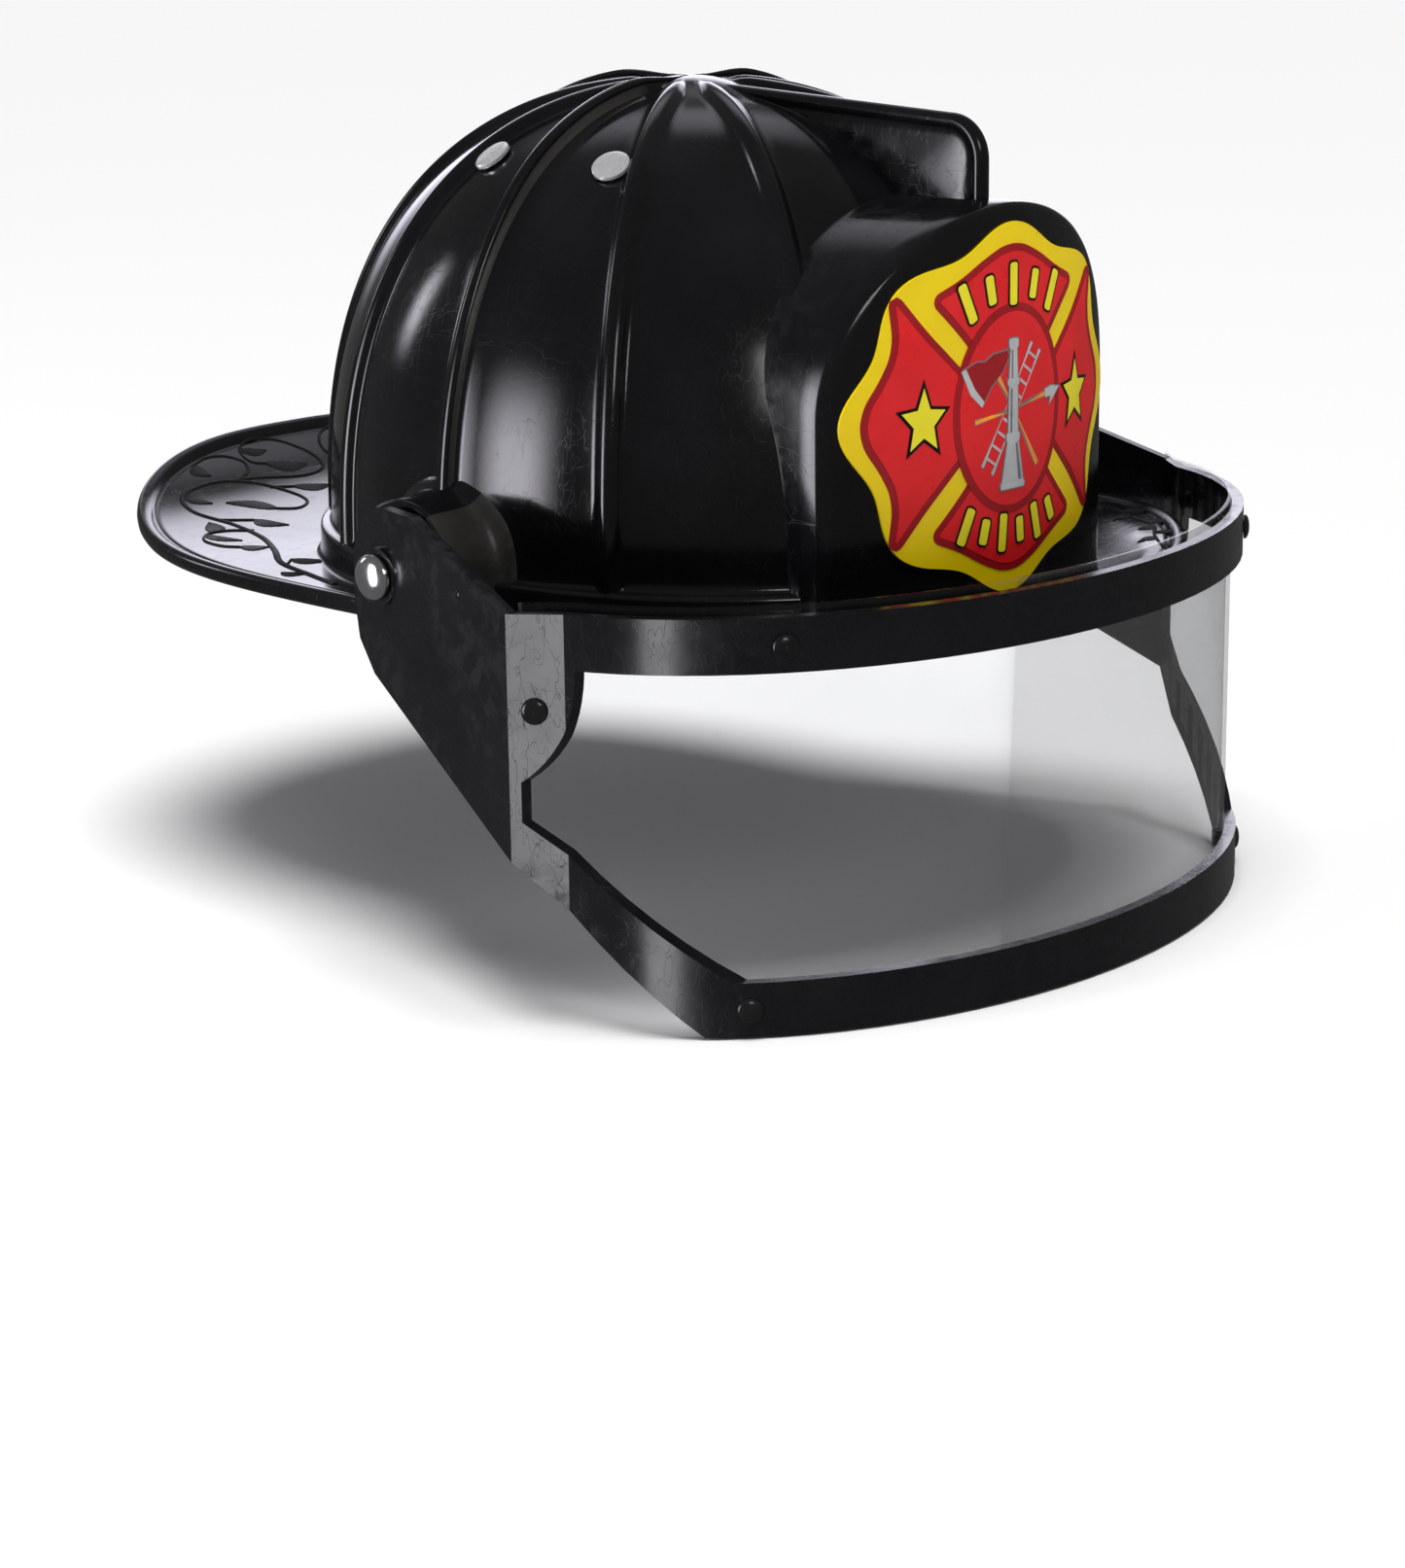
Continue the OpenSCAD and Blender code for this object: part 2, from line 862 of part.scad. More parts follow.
crown_strap(button_azimuth, strap_sag);  // crown_strap_upper
union() {  // crown_strap_lower
  crown_strap(-button_azimuth, strap_sag + strap_cross);
}
headband();
nape_strap();
brow_pad();
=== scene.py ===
import math
from collections import Counter

import bmesh
import bpy
from mathutils import Matrix, Vector, geometry


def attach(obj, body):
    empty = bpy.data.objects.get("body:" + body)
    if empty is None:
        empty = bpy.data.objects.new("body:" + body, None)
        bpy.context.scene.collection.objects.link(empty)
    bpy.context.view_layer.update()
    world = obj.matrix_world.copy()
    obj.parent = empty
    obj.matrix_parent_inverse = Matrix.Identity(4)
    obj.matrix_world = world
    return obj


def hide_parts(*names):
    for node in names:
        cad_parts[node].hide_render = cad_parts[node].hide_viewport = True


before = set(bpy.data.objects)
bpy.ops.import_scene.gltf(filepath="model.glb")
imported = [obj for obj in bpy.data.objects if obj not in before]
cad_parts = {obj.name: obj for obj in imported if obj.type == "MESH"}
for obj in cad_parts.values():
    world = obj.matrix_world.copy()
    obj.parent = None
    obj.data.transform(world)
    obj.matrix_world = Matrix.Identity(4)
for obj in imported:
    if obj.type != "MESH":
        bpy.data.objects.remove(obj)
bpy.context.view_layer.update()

MM = 0.001
TAU = 2 * math.pi
FLAT = "flat"
SIDES = ((-1, "right"), (1, "left"))

# ---- sizes, mm
HALF_W, HALF_L = 82.5, 93.5
FOOT_TOP, BRIM_TOP = 5.7, -2.0
CROWN_H, POWER, WALL = 103.0, 2.35, 2.4
RIBS = 12
SHIELD_R, SHIELD_REACH, SHIELD_HALF, SHIELD_TOP, SHIELD_BEND = 108.0, 96.0, 50.0, 88.0, 44.0
VISOR_HALF, CREASE_Y, VISOR_TOP, VISOR_LOW = 118.0, -55.0, 10.0, -82.0
VISOR_RX, VISOR_RY, VISOR_MID = 112.8, 77.7, -49.3
FRONT_SPAN = 78.5
PLATE_TOE = 15.2
HINGE_Z = 8.3
CREASE_LOW = -44.5

# ---- materials

def nodes_of(name):
    """A new node material: the material, its tree and its main shader."""
    m = bpy.data.materials.new(name)
    m.use_nodes = True
    return m, m.node_tree, m.node_tree.nodes["Principled BSDF"]


def plug(nt, n, inputs):
    """Sets inputs by name or number, each to a plain value or to another node's output."""
    for key, value in inputs.items():
        if isinstance(value, bpy.types.NodeSocket):
            nt.links.new(value, n.inputs[key])
        else:
            n.inputs[key].default_value = value


def node(nt, kind, inputs):
    """A new shader node with its inputs set."""
    n = nt.nodes.new("ShaderNode" + kind)
    plug(nt, n, inputs)
    return n


def object_coords(nt, stretch=(1, 1, 1)):
    """Object space in metres, stretched along its axes."""
    where = node(nt, "TexCoord", {}).outputs["Object"]
    return node(nt, "Mapping", {"Scale": stretch, "Vector": where}).outputs["Vector"]


def noise(nt, scale, detail=3.0, rough=0.55, stretch=(1, 1, 1)):
    where = object_coords(nt, stretch)
    inputs = {"Scale": scale, "Detail": detail, "Roughness": rough, "Vector": where}
    return node(nt, "TexNoise", inputs).outputs["Fac"]


def ramp(nt, source, low, high, at=(0.35, 0.65)):
    """Maps the part of a source between the two levels of at to low and high."""
    inputs = {"From Min": at[0], "From Max": at[1], "To Min": low, "To Max": high, "Value": source}
    return node(nt, "MapRange", inputs).outputs["Result"]


def math_node(nt, op, a, b):
    n = node(nt, "Math", {0: a, 1: b})
    n.operation = op
    return n.outputs[0]


def colour_mix(nt, fac, dark, light):
    n = node(nt, "ValToRGB", {"Fac": fac})
    for stop, colour in zip(n.color_ramp.elements, (dark, light)):
        stop.color = (*colour, 1)
    return n.outputs["Color"]


def scratch_field(nt, scale, stretch, width):
    """Thin stretched lines: 1 on a hairline scratch, 0 elsewhere."""
    n = noise(nt, scale, 2.0, 0.5, stretch)
    d = math_node(nt, "ABSOLUTE", math_node(nt, "SUBTRACT", n, 0.5), 0.0)
    return ramp(nt, d, 1.0, 0.0, (0.0, width))


def hairlines(nt, first, second):
    """Two sets of crossing hairline scratches, each given as scale, stretch and width."""
    return math_node(nt, "MAXIMUM", scratch_field(nt, *first), scratch_field(nt, *second))


def bump(nt, height, strength, distance, under=None):
    """The normal of a bump, laid over another normal if one is given."""
    b = node(nt, "Bump", {"Strength": strength, "Distance": distance, "Height": height})
    if under:
        plug(nt, b, {"Normal": under})
    return b.outputs["Normal"]


def plus(nt, base, extra, share):
    """A base level plus a share of another."""
    return math_node(nt, "ADD", base, math_node(nt, "MULTIPLY", extra, share))


def edge_wear(nt):
    """1 on convex edges that hands and storage rub, broken up by noise."""
    g = nt.nodes.new("ShaderNodeNewGeometry")
    edge = ramp(nt, g.outputs["Pointiness"], 0.0, 1.0, (0.52, 0.60))
    patchy = ramp(nt, noise(nt, 220.0, 4.0), 0.0, 1.0, (0.42, 0.62))
    return math_node(nt, "MULTIPLY", edge, patchy)


def moulded(name, base, worn, rough, grain=0.0, scratches=1.0, wave=1.0):
    """Injection-moulded plastic: flow waviness, fine texture, hairlines and rubbed edges."""
    m, nt, p = nodes_of(name)
    wear = edge_wear(nt)
    blotch = ramp(nt, noise(nt, 38.0, 5.0), 0.0, 0.5, (0.4, 0.7))
    hair = hairlines(nt, (26.0, (1.0, 14.0, 3.0), 0.006), (31.0, (11.0, 1.0, 5.0), 0.005))
    smudge = ramp(nt, noise(nt, 14.0, 6.0, 0.65), rough * 0.8, rough * 1.5)
    dulled = plus(nt, smudge, hair, 0.16 * scratches)
    flow = bump(nt, noise(nt, 24.0, 1.0, 0.4), 0.10 * wave, 0.0006)
    scored = math_node(nt, "MULTIPLY", hair, 0.6 * scratches)
    fine = math_node(nt, "SUBTRACT", noise(nt, 900.0, 3.0, 0.6), scored)
    plug(nt, p, {
        "Base Color": colour_mix(nt, math_node(nt, "MAXIMUM", wear, blotch), base, worn),
        "Roughness": plus(nt, dulled, wear, 0.12),
        "Normal": bump(nt, fine, 0.05 + grain, 0.00012, flow),
    })
    return m


def metal(name, base, dull, rough, shine=1.0):
    """Plated or bare metal with micro scratches and faint tarnish."""
    m, nt, p = nodes_of(name)
    stain = ramp(nt, noise(nt, 120.0, 4.0), 0.0, 1.0, (0.40, 0.80))
    hair = scratch_field(nt, 500.0, (1.0, 7.0, 2.0), 0.02)
    soft = ramp(nt, noise(nt, 330.0, 4.0), rough * 0.7, rough * 1.6)
    plug(nt, p, {
        "Metallic": shine,
        "Base Color": colour_mix(nt, stain, base, dull),
        "Roughness": plus(nt, soft, hair, 0.14),
        "Normal": bump(nt, noise(nt, 380.0, 3.0), 0.06, 0.0001),
    })
    return m


def printed(name, ink, shade):
    """Printed vinyl: slight ink mottle, print grain and a satin film."""
    m, nt, p = nodes_of(name)
    plug(nt, p, {
        "Base Color": colour_mix(nt, ramp(nt, noise(nt, 60.0, 5.0), 0.0, 1.0), ink, shade),
        "Roughness": ramp(nt, noise(nt, 95.0, 5.0), 0.26, 0.42),
        "Specular IOR Level": 0.35,
        "Normal": bump(nt, noise(nt, 1400.0, 2.0), 0.12, 0.00008),
    })
    return m


def clear_sheet(name):
    """Thin clear sheet: see-through with gloss by angle, hazed by fine scuffs."""
    m, nt, p = nodes_of(name)
    nt.nodes.remove(p)
    hair = hairlines(nt, (30.0, (1.0, 12.0, 4.0), 0.004), (22.0, (9.0, 1.0, 3.0), 0.004))
    cloudy = ramp(nt, noise(nt, 18.0, 5.0), 0.02, 0.09)
    through = node(nt, "BsdfTransparent", {"Color": (0.988, 0.991, 0.995, 1)})
    rough = plus(nt, cloudy, hair, 0.2)
    gloss = node(nt, "BsdfGlossy", {"Color": (1, 1, 1, 1), "Roughness": rough})
    fresnel = node(nt, "Fresnel", {"IOR": 1.46})
    shine = math_node(nt, "MULTIPLY", fresnel.outputs["Fac"], 0.34)
    haze = math_node(nt, "ADD", shine, ramp(nt, noise(nt, 9.0, 4.0), 0.0, 0.03))
    glossy = plus(nt, haze, hair, 0.04)
    mix = node(nt, "MixShader", {0: glossy, 1: through.outputs[0], 2: gloss.outputs[0]})
    plug(nt, nt.nodes["Material Output"], {"Surface": mix.outputs[0]})
    return m


def foam_material(name):
    """Dark open-cell foam."""
    m, nt, p = nodes_of(name)
    cells = node(nt, "TexVoronoi", {"Scale": 900.0, "Vector": object_coords(nt)})
    depth = cells.outputs["Distance"]
    open_cell = ramp(nt, depth, 0, 1, (0.1, 0.6))
    plug(nt, p, {
        "Base Color": colour_mix(nt, open_cell, (0.012, 0.012, 0.014), (0.045, 0.046, 0.05)),
        "Roughness": ramp(nt, noise(nt, 120.0, 4.0), 0.8, 0.97),
        "Normal": bump(nt, depth, 0.6, 0.0004),
    })
    return m


BLACK = (0.0032, 0.0032, 0.0038)
SHELL = moulded("shell_black", BLACK, (0.009, 0.009, 0.010), 0.12)
SATIN, SATIN_WORN = (0.015, 0.0145, 0.0135), (0.050, 0.048, 0.045)
SHELL_MATTE = moulded("shell_satin", SATIN, SATIN_WORN, 0.34, grain=0.35)
VINE = moulded("vine_etched", (0.004, 0.004, 0.004), (0.010, 0.010, 0.010), 0.60, grain=0.5)
VISOR = moulded("visor_black", (0.0035, 0.0035, 0.0045), (0.010, 0.010, 0.012), 0.17, wave=0.3)
RIVET = moulded("rivet_black", (0.005, 0.005, 0.006), (0.02, 0.02, 0.02), 0.16, scratches=0.4)
CHROME = metal("chrome_plate", (0.92, 0.92, 0.94), (0.80, 0.80, 0.82), 0.10)
DISC = metal("chrome_disc", (0.97, 0.97, 0.98), (0.90, 0.90, 0.91), 0.20, 0.72)
STEEL = metal("steel_zinc", (0.50, 0.51, 0.53), (0.34, 0.34, 0.34), 0.32)
WASHER = moulded("washer_white", (0.62, 0.62, 0.60), (0.75, 0.75, 0.73), 0.4)
BAND = moulded("band_plastic", (0.012, 0.012, 0.013), (0.035, 0.035, 0.036), 0.42, grain=0.3)
STRAP = moulded("strap_plastic", (0.016, 0.016, 0.017), (0.045, 0.045, 0.046), 0.45, grain=0.3)
NATURAL = moulded("retainer_natural", (0.55, 0.55, 0.52), (0.68, 0.68, 0.66), 0.38)
LENS = clear_sheet("lens_clear")
FOAM = foam_material("foam_grey")
YELLOW = printed("ink_yellow", (1.0, 0.74, 0.0), (0.97, 0.69, 0.0))
LEMON = printed("ink_lemon", (0.98, 0.86, 0.02), (0.90, 0.78, 0.02))
RED = printed("ink_red", (0.86, 0.014, 0.018), (0.78, 0.011, 0.015))
CRIMSON = printed("ink_crimson", (0.40, 0.008, 0.014), (0.34, 0.006, 0.011))
INK_BLACK = printed("ink_black", (0.006, 0.006, 0.006), (0.012, 0.012, 0.012))
SILVER = printed("ink_silver", (0.60, 0.61, 0.62), (0.42, 0.43, 0.45))
GREY = printed("ink_grey", (0.22, 0.22, 0.23), (0.16, 0.16, 0.17))
ORANGE = printed("ink_orange", (0.95, 0.36, 0.03), (0.85, 0.30, 0.02))

# ---- mesh tools

def place_object(name, data):
    """A new object in the scene."""
    o = bpy.data.objects.new(name, data)
    bpy.context.scene.collection.objects.link(o)
    return o


def tag(o, body, replaces=()):
    """Hangs a piece on the body it rides on and hides the CAD nodes it stands for."""
    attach(o, body)
    if replaces:
        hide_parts(*replaces)
    return o


def build(
    name, verts, faces, materials, body, replaces=(), angle=32, face_mat=None, merge=1e-7
):
    """Makes a piece from points in millimetres; face_mat picks a material for each face."""
    me = bpy.data.meshes.new(name)
    me.from_pydata([(x * MM, y * MM, z * MM) for x, y, z in verts], [], faces)
    for m in materials:
        me.materials.append(m)
    if face_mat:
        for poly, k in zip(me.polygons, face_mat):
            poly.material_index = k
    bm = bmesh.new()
    bm.from_mesh(me)
    bmesh.ops.remove_doubles(bm, verts=bm.verts, dist=merge)
    bmesh.ops.dissolve_degenerate(bm, edges=bm.edges, dist=merge)
    bmesh.ops.recalc_face_normals(bm, faces=bm.faces)
    bm.to_mesh(me)
    bm.free()
    me.shade_smooth()
    me.set_sharp_from_angle(angle=math.radians(angle))
    return tag(place_object(name, me), body, replaces)


def skin(rows, loop=False, ends=(), verts=None, faces=None):
    """Quads between equal closed rows of points, added to any verts and faces given.

    loop joins the last row to the first. ends closes the first and last row: each is FLAT for
    one face, a middle point to fan round, or None to stay open.
    """
    verts = [] if verts is None else verts
    faces = [] if faces is None else faces
    start, n, m = len(verts), len(rows), len(rows[0])
    verts.extend(tuple(p) for row in rows for p in row)
    for j in range(n if loop else n - 1):
        a, b = start + j * m, start + (j + 1) % n * m
        faces.extend((a + i, a + (i + 1) % m, b + (i + 1) % m, b + i) for i in range(m))
    for first, end in zip((start, start + (n - 1) * m), ends):
        if end == FLAT:
            faces.append(tuple(range(first, first + m)))
        elif end:
            verts.append(tuple(end))
            middle = len(verts) - 1
            faces.extend((first + i, first + (i + 1) % m, middle) for i in range(m))
    return verts, faces


def turned_rows(profile, place, steps):
    """The [radius, height] points of a profile, turned round local Z and put in place."""
    ring = [(math.cos(TAU * i / steps), math.sin(TAU * i / steps)) for i in range(steps)]
    return [[place @ Vector((r * c, r * s, z)) for c, s in ring] for r, z in profile]


def lathe(name, profile, place, material, body, slot, replaces=(), steps=48):
    """A solid turned from an open profile, in mm, with its two ends closed."""
    ends = [place @ Vector((0, 0, profile[k][1])) for k in (0, -1)]
    verts, faces = skin(turned_rows(profile, place, steps), ends=ends)
    build(name, verts, faces, [material], body, replaces, 38)


def tube(name, profile, place, material, body, slot, replaces, steps=48):
    """A ring turned from a closed profile, in mm."""
    verts, faces = skin(turned_rows(profile, place, steps), loop=True)
    build(name, verts, faces, [material], body, replaces, 38)


def smooth_step(v, a, b):
    t = min(1.0, max(0.0, (v - a) / (b - a)))
    return t * t * (3 - 2 * t)


def signed_pow(v, p):
    return math.copysign(abs(v) ** p, v)


def quarter(steps, first, last):
    """Angles from step first to step last of a quarter turn in equal steps."""
    return [math.pi / 2 * i / steps for i in range(first, last + 1)]


def ellipse_r(az, rw, rl):
    """Radius of an ellipse in plan at an azimuth from straight ahead."""
    return 1 / math.hypot(math.sin(az) / rw, math.cos(az) / rl)


def around(az, rw, rl):
    """Point of an ellipse in plan at an azimuth from straight ahead."""
    r = ellipse_r(az, rw, rl)
    return -r * math.sin(az), -r * math.cos(az)


def axis_frame(origin, direction):
    """The placement whose local Z runs along a direction."""
    m = Vector(direction).normalized().to_track_quat("Z", "Y").to_matrix().to_4x4()
    m.translation = Vector(origin)
    return m


def catmull(points, steps):
    """Smooth open curve through given points."""
    pts = [points[0]] + list(points) + [points[-1]]
    out = []
    for k in range(1, len(pts) - 2):
        p0, p1, p2, p3 = (Vector(pts[k + d]) for d in (-1, 0, 1, 2))
        for s in range(steps):
            t = s / steps
            bend = 2 * p0 - 5 * p1 + 4 * p2 - p3
            twist = 3 * p1 - p0 - 3 * p2 + p3
            out.append(0.5 * (2 * p1 + (p2 - p0) * t + bend * t * t + twist * t ** 3))
    out.append(Vector(pts[-2]))
    return out

# ---- crown

def dome_profile(steps):
    """Share of the way out and height, from the foot of the dome to its apex."""
    p = 2 / POWER
    angles = quarter(steps, 0, steps)
    return [(math.cos(a) ** p, FOOT_TOP + CROWN_H * math.sin(a) ** p) for a in angles]


def dome_rho(z):
    return (1 - min(1.0, max(0.0, (z - FOOT_TOP) / CROWN_H)) ** POWER) ** (1 / POWER)


def dome_z(rho):
    return FOOT_TOP + CROWN_H * (1 - min(1.0, rho) ** POWER) ** (1 / POWER)


def dome_front_y(x, z):
    """The front face of the dome at a place seen from straight ahead."""
    rho = dome_rho(z)
    return -HALF_L * rho * math.sqrt(max(0.0, 1 - (x / (HALF_W * rho)) ** 2))


# Half of a rib's cross-section: distance from its middle and share of its height
RIB_REACH = 4.4
PLAIN_RIB = [
    (0, 1), (0.8, 0.96), (1.5, 0.84), (2.1, 0.62), (2.45, 0.4), (2.75, 0.2), (3.3, 0.06),
    (RIB_REACH, 0),
]
CREST_RIB = [
    (0, 1), (0.75, 0.96), (1.3, 0.86), (1.5, 0.74), (1.3, 0.66), (1.45, 0.58), (2.3, 0.14),
    (RIB_REACH, 0),
]
CREST_EVERY = 3
# Widest half angle of a rib, which narrows it towards the apex
RIB_FAN = math.radians(13.5)
# Facets between two ribs
BAY = 9
# The foot of the crown, from the bottom: distance off the dome and height
CROWN_FOOT = (
    (4.4, -3.2), (4.4, -2.02), (3.75, -1.85), (3.2, -1.3), (2.95, -0.4), (2.9, 1.5), (2.9, 4.5),
    (2.7, 5.2), (2.2, 5.62), (1.5, 5.72), (0.8, 5.78), (0.35, 6.1), (0.08, 6.9),
)


def rib_height(k, r_share):
    """How far rib k stands off the dome, at a share of the way out from the apex."""
    if k % CREST_EVERY == 0:
        return 2.5 + 1.9 * smooth_step(r_share, 0.05, 0.25) * (1 - smooth_step(r_share, 0.55, 0.97))
    return 2.6 * smooth_step(r_share, 0.03, 0.16)


def rib_fit(az, rho):
    """The radius at an azimuth, and the share of its full width that a rib has there."""
    r = ellipse_r(az, HALF_W, HALF_L) * rho
    return r, min(1.0, RIB_FAN * r / RIB_REACH)


def crown_offsets(rho, d, z):
    """Azimuth and distance off the dome, all the way round one row of the crown."""
    row = []
    for k in range(RIBS):
        az0, az1 = TAU * k / RIBS, TAU * (k + 1) / RIBS
        shape = PLAIN_RIB if k % CREST_EVERY else CREST_RIB
        # The rib straight ahead is left out: the fin stands there
        high = rib_height(k, rho) if k and z > FOOT_TOP - 0.2 else 0.0
        r, narrow = rib_fit(az0, rho)
        for s, h in [(-s, h) for s, h in reversed(shape)] + shape[1:]:
            last = az0 + s * narrow / r
            row.append((last, max(d, h * high)))
        r, narrow = rib_fit(az1, rho)
        bay = az1 - RIB_REACH * narrow / r - last
        row += [(last + bay * j / BAY, d) for j in range(1, BAY)]
    return row


def off_dome(az, rho, z, h, upright):
    """A point h off the dome, square to it, or level where the wall is upright."""
    x, y = around(az, HALF_W * rho, HALF_L * rho)
    gx, gy = x / HALF_W ** 2, y / HALF_L ** 2
    g = math.hypot(gx, gy)
    if upright:
        return x + gx / g * h, y + gy / g * h, z
    out = rho ** (POWER - 1) / ellipse_r(az, HALF_W, HALF_L)
    up = ((z - FOOT_TOP) / CROWN_H) ** (POWER - 1) / CROWN_H
    size = math.hypot(out, up)
    return x + gx / g * out / size * h, y + gy / g * out / size * h, z + up / size * h


def crown():
    """The ribbed dome on its foot, with a plain inside."""
    hub_high, hub_share = 2.5, 0.26
    profile = [(1.0, d, z) for d, z in CROWN_FOOT]
    profile += [(rho, 0.0, z) for rho, z in dome_profile(84) if z > 8.6][:-1]
    rows = []
    for rho, d, z in profile:
        hub = hub_high * (1 - smooth_step(rho, 0.0, hub_share)) if z > FOOT_TOP else 0.0
        upright = d > 0 or z <= FOOT_TOP
        offsets = crown_offsets(rho, d, z)
        rows.append([off_dome(az, rho, z, max(h, hub), upright) for az, h in offsets])
    m = len(rows[0])
    foot = len(CROWN_FOOT) - 1
    angles = [math.atan2(-x, -y) for x, y, _ in rows[foot]]
    inner_rows = []
    for rho, z in [(1.0, -4.3), (1.0, 0.0)] + dome_profile(26)[1:-1]:
        if z >= FOOT_TOP:
            z = FOOT_TOP + (z - FOOT_TOP) * (CROWN_H - WALL) / CROWN_H
        rw, rl = (HALF_W - WALL) * rho, (HALF_L - WALL) * rho
        inner_rows.append([(*around(a, rw, rl), z) for a in angles])
    top = FOOT_TOP + CROWN_H
    verts, faces = skin(rows, ends=(None, (0, 0, top + 2.4)))
    start = len(verts)
    skin(inner_rows, ends=(None, (0, 0, top - WALL)), verts=verts, faces=faces)
    faces += [(i, (i + 1) % m, start + (i + 1) % m, start + i) for i in range(m)]
    # The flanks of the crests are satin: one facet in from each end of their section
    section = 2 * len(CREST_RIB) - 1
    per_rib = section + BAY - 1
    flanks = {k * per_rib + c for k in range(0, RIBS, CREST_EVERY) for c in (1, section - 3)}
    body = (len(rows) - 1) * m
    mats = [int(foot <= q // m < len(rows) - 8 and q % m in flanks) for q in range(body)]
    mats += [0] * (len(faces) - len(mats))
    build(
        "shell_crown", verts, faces, [SHELL, SHELL_MATTE], "helmet",
        ("helmet_shell",), angle=50, face_mat=mats,
    )


# The beaded edge of the fin, from its neck to its middle: half width and depth
FIN_BEAD = (
    (1.75, 5.2), (1.55, 4.0), (1.35, 3.5), (1.6, 3.0), (1.95, 2.2), (1.9, 1.2), (1.35, 0.4),
    (0.7, 0.08), (0, 0),
)


def fin():
    """The upright plate from the apex to the front shield, with a beaded top edge."""
    back, reach, top, drop = 2.2, 81.2, FOOT_TOP + CROWN_H + 1.7, 3.6
    nose_r, low = 10.0, 86.4
    path = [(back - reach * i / 40, top - drop * i / 40) for i in range(41)]
    cy, cz = back - reach, top - drop - nose_r
    path += [(cy - nose_r * math.sin(a), cz + nose_r * math.cos(a)) for a in quarter(14, 1, 14)]
    path += [(cy - nose_r, z) for z in (94.0, 91.0, 88.6, 86.6)]
    rows = []
    n = len(path)
    for i, (y, z) in enumerate(path):
        (ya, za), (yb, zb) = path[max(i - 1, 0)], path[min(i + 1, n - 1)]
        size = math.hypot(yb - ya, zb - za)
        ny, nz = (za - zb) / size, (yb - ya) / size
        foot_y = back - 90.4 * (i / (n - 1))
        foot_z = max(dome_z(abs(foot_y) / HALF_L) - 1.3, low)
        row = [(2.35, foot_y, foot_z)] + [(x, y + ny * d, z + nz * d) for x, d in FIN_BEAD]
        rows.append(row + [(-x, py, pz) for x, py, pz in reversed(row[:-1])])
    verts, faces = skin(rows, ends=(FLAT, FLAT))
    build("shell_fin", verts, faces, [SHELL], "helmet", angle=40)


def shield_edge(low):
    """The outline of the front shield: upright sides under half an ellipse."""
    half, bend, rise = SHIELD_HALF, SHIELD_BEND, SHIELD_TOP - SHIELD_BEND
    arch = [math.pi * i / 56 for i in range(57)]
    pts = [(-half, low + (bend - low) * i / 10) for i in range(10)]
    pts += [(-half * math.cos(a), bend + rise * math.sin(a)) for a in arch]
    pts += [(half, bend - (bend - low) * i / 10) for i in range(1, 11)]
    pts += [(half - 2 * half * i / 14, low) for i in range(1, 14)]
    return pts


def shield_face_y(x, lift=0.0):
    return SHIELD_R - SHIELD_REACH - math.sqrt((SHIELD_R + lift) ** 2 - x * x)


def shield():
    """The front shield: a curved face with a rolled rim, its back sunk in the dome."""
    edge = shield_edge(-3.4)
    cz, sunk = 36.0, 1.3
    rows = []
    for t in (0.25, 0.5, 0.72, 0.86, 0.93):
        rows.append([(x * t, shield_face_y(x * t), cz + (z - cz) * t) for x, z in edge])
    # The rolled rim: distance in from the outline and distance behind the face
    for inset, back in (
        (2.4, 0.0), (1.5, 0.12), (0.8, 0.45), (0.25, 1.0), (0.0, 1.8), (-0.25, 6.0),
    ):
        row = []
        for x, z in edge:
            k = 1 - inset / math.hypot(x, z - cz)
            row.append((x * k, shield_face_y(x * k) + back, cz + (z - cz) * k))
        rows.append(row)
    for t in (1.0, 0.85, 0.6, 0.3):
        pts = [(x * t, cz + (z - cz) * t) for x, z in edge]
        rows.append([(x, dome_front_y(x, z) + sunk, z) for x, z in pts])
    ends = ((0, shield_face_y(0), cz), (0, dome_front_y(0, cz) + sunk, cz))
    verts, faces = skin(rows, ends=ends)
    build("shell_shield", verts, faces, [SHELL], "helmet", angle=40)


def boss(side, label):
    """The arched lug that carries the visor hinge."""
    boss_r = 16.0
    # From the outer face inward: distance from the middle and growth of the radius
    layers = (
        (96.36, -1.0), (96.25, -0.5), (95.9, -0.15), (95.3, 0.0), (90.0, 0.1), (85.5, 0.3),
        (83.8, 0.8), (82.6, 1.7), (81.7, 3.0), (80.7, 4.6),
    )
    rows = []
    for x, more in layers:
        r = boss_r + more
        pts = [(-r, -3.4), (-r, 0.0), (-r, 4.0)]
        arch = [math.pi * i / 28 for i in range(29)]
        pts += [(-r * math.cos(a), HINGE_Z + r * math.sin(a)) for a in arch]
        pts += [(r, 4.0), (r, 0.0), (r, -3.4)]
        rows.append([(side * x, y, z) for y, z in pts])
    m = len(rows[0])
    verts, faces = skin(rows, ends=[(side * layers[k][0], 0, HINGE_Z) for k in (0, -1)])
    # The arch's crown is polished; its front flank is satin, like the sides of the crests
    mats = [int(not 12 <= q % m <= 25) for q in range((len(rows) - 1) * m)] + [0] * (2 * m)
    build(
        "shell_boss_" + label, verts, faces, [SHELL, SHELL_MATTE],
        "helmet", angle=40, face_mat=mats,
    )


# ---- brim


# Each half of the outline: half width, middle, reach and power
BRIM_FRONT = (106, -45, 71, 2 / 1.8)
BRIM_REAR = (94, 20, 131, 2 / 2.8)
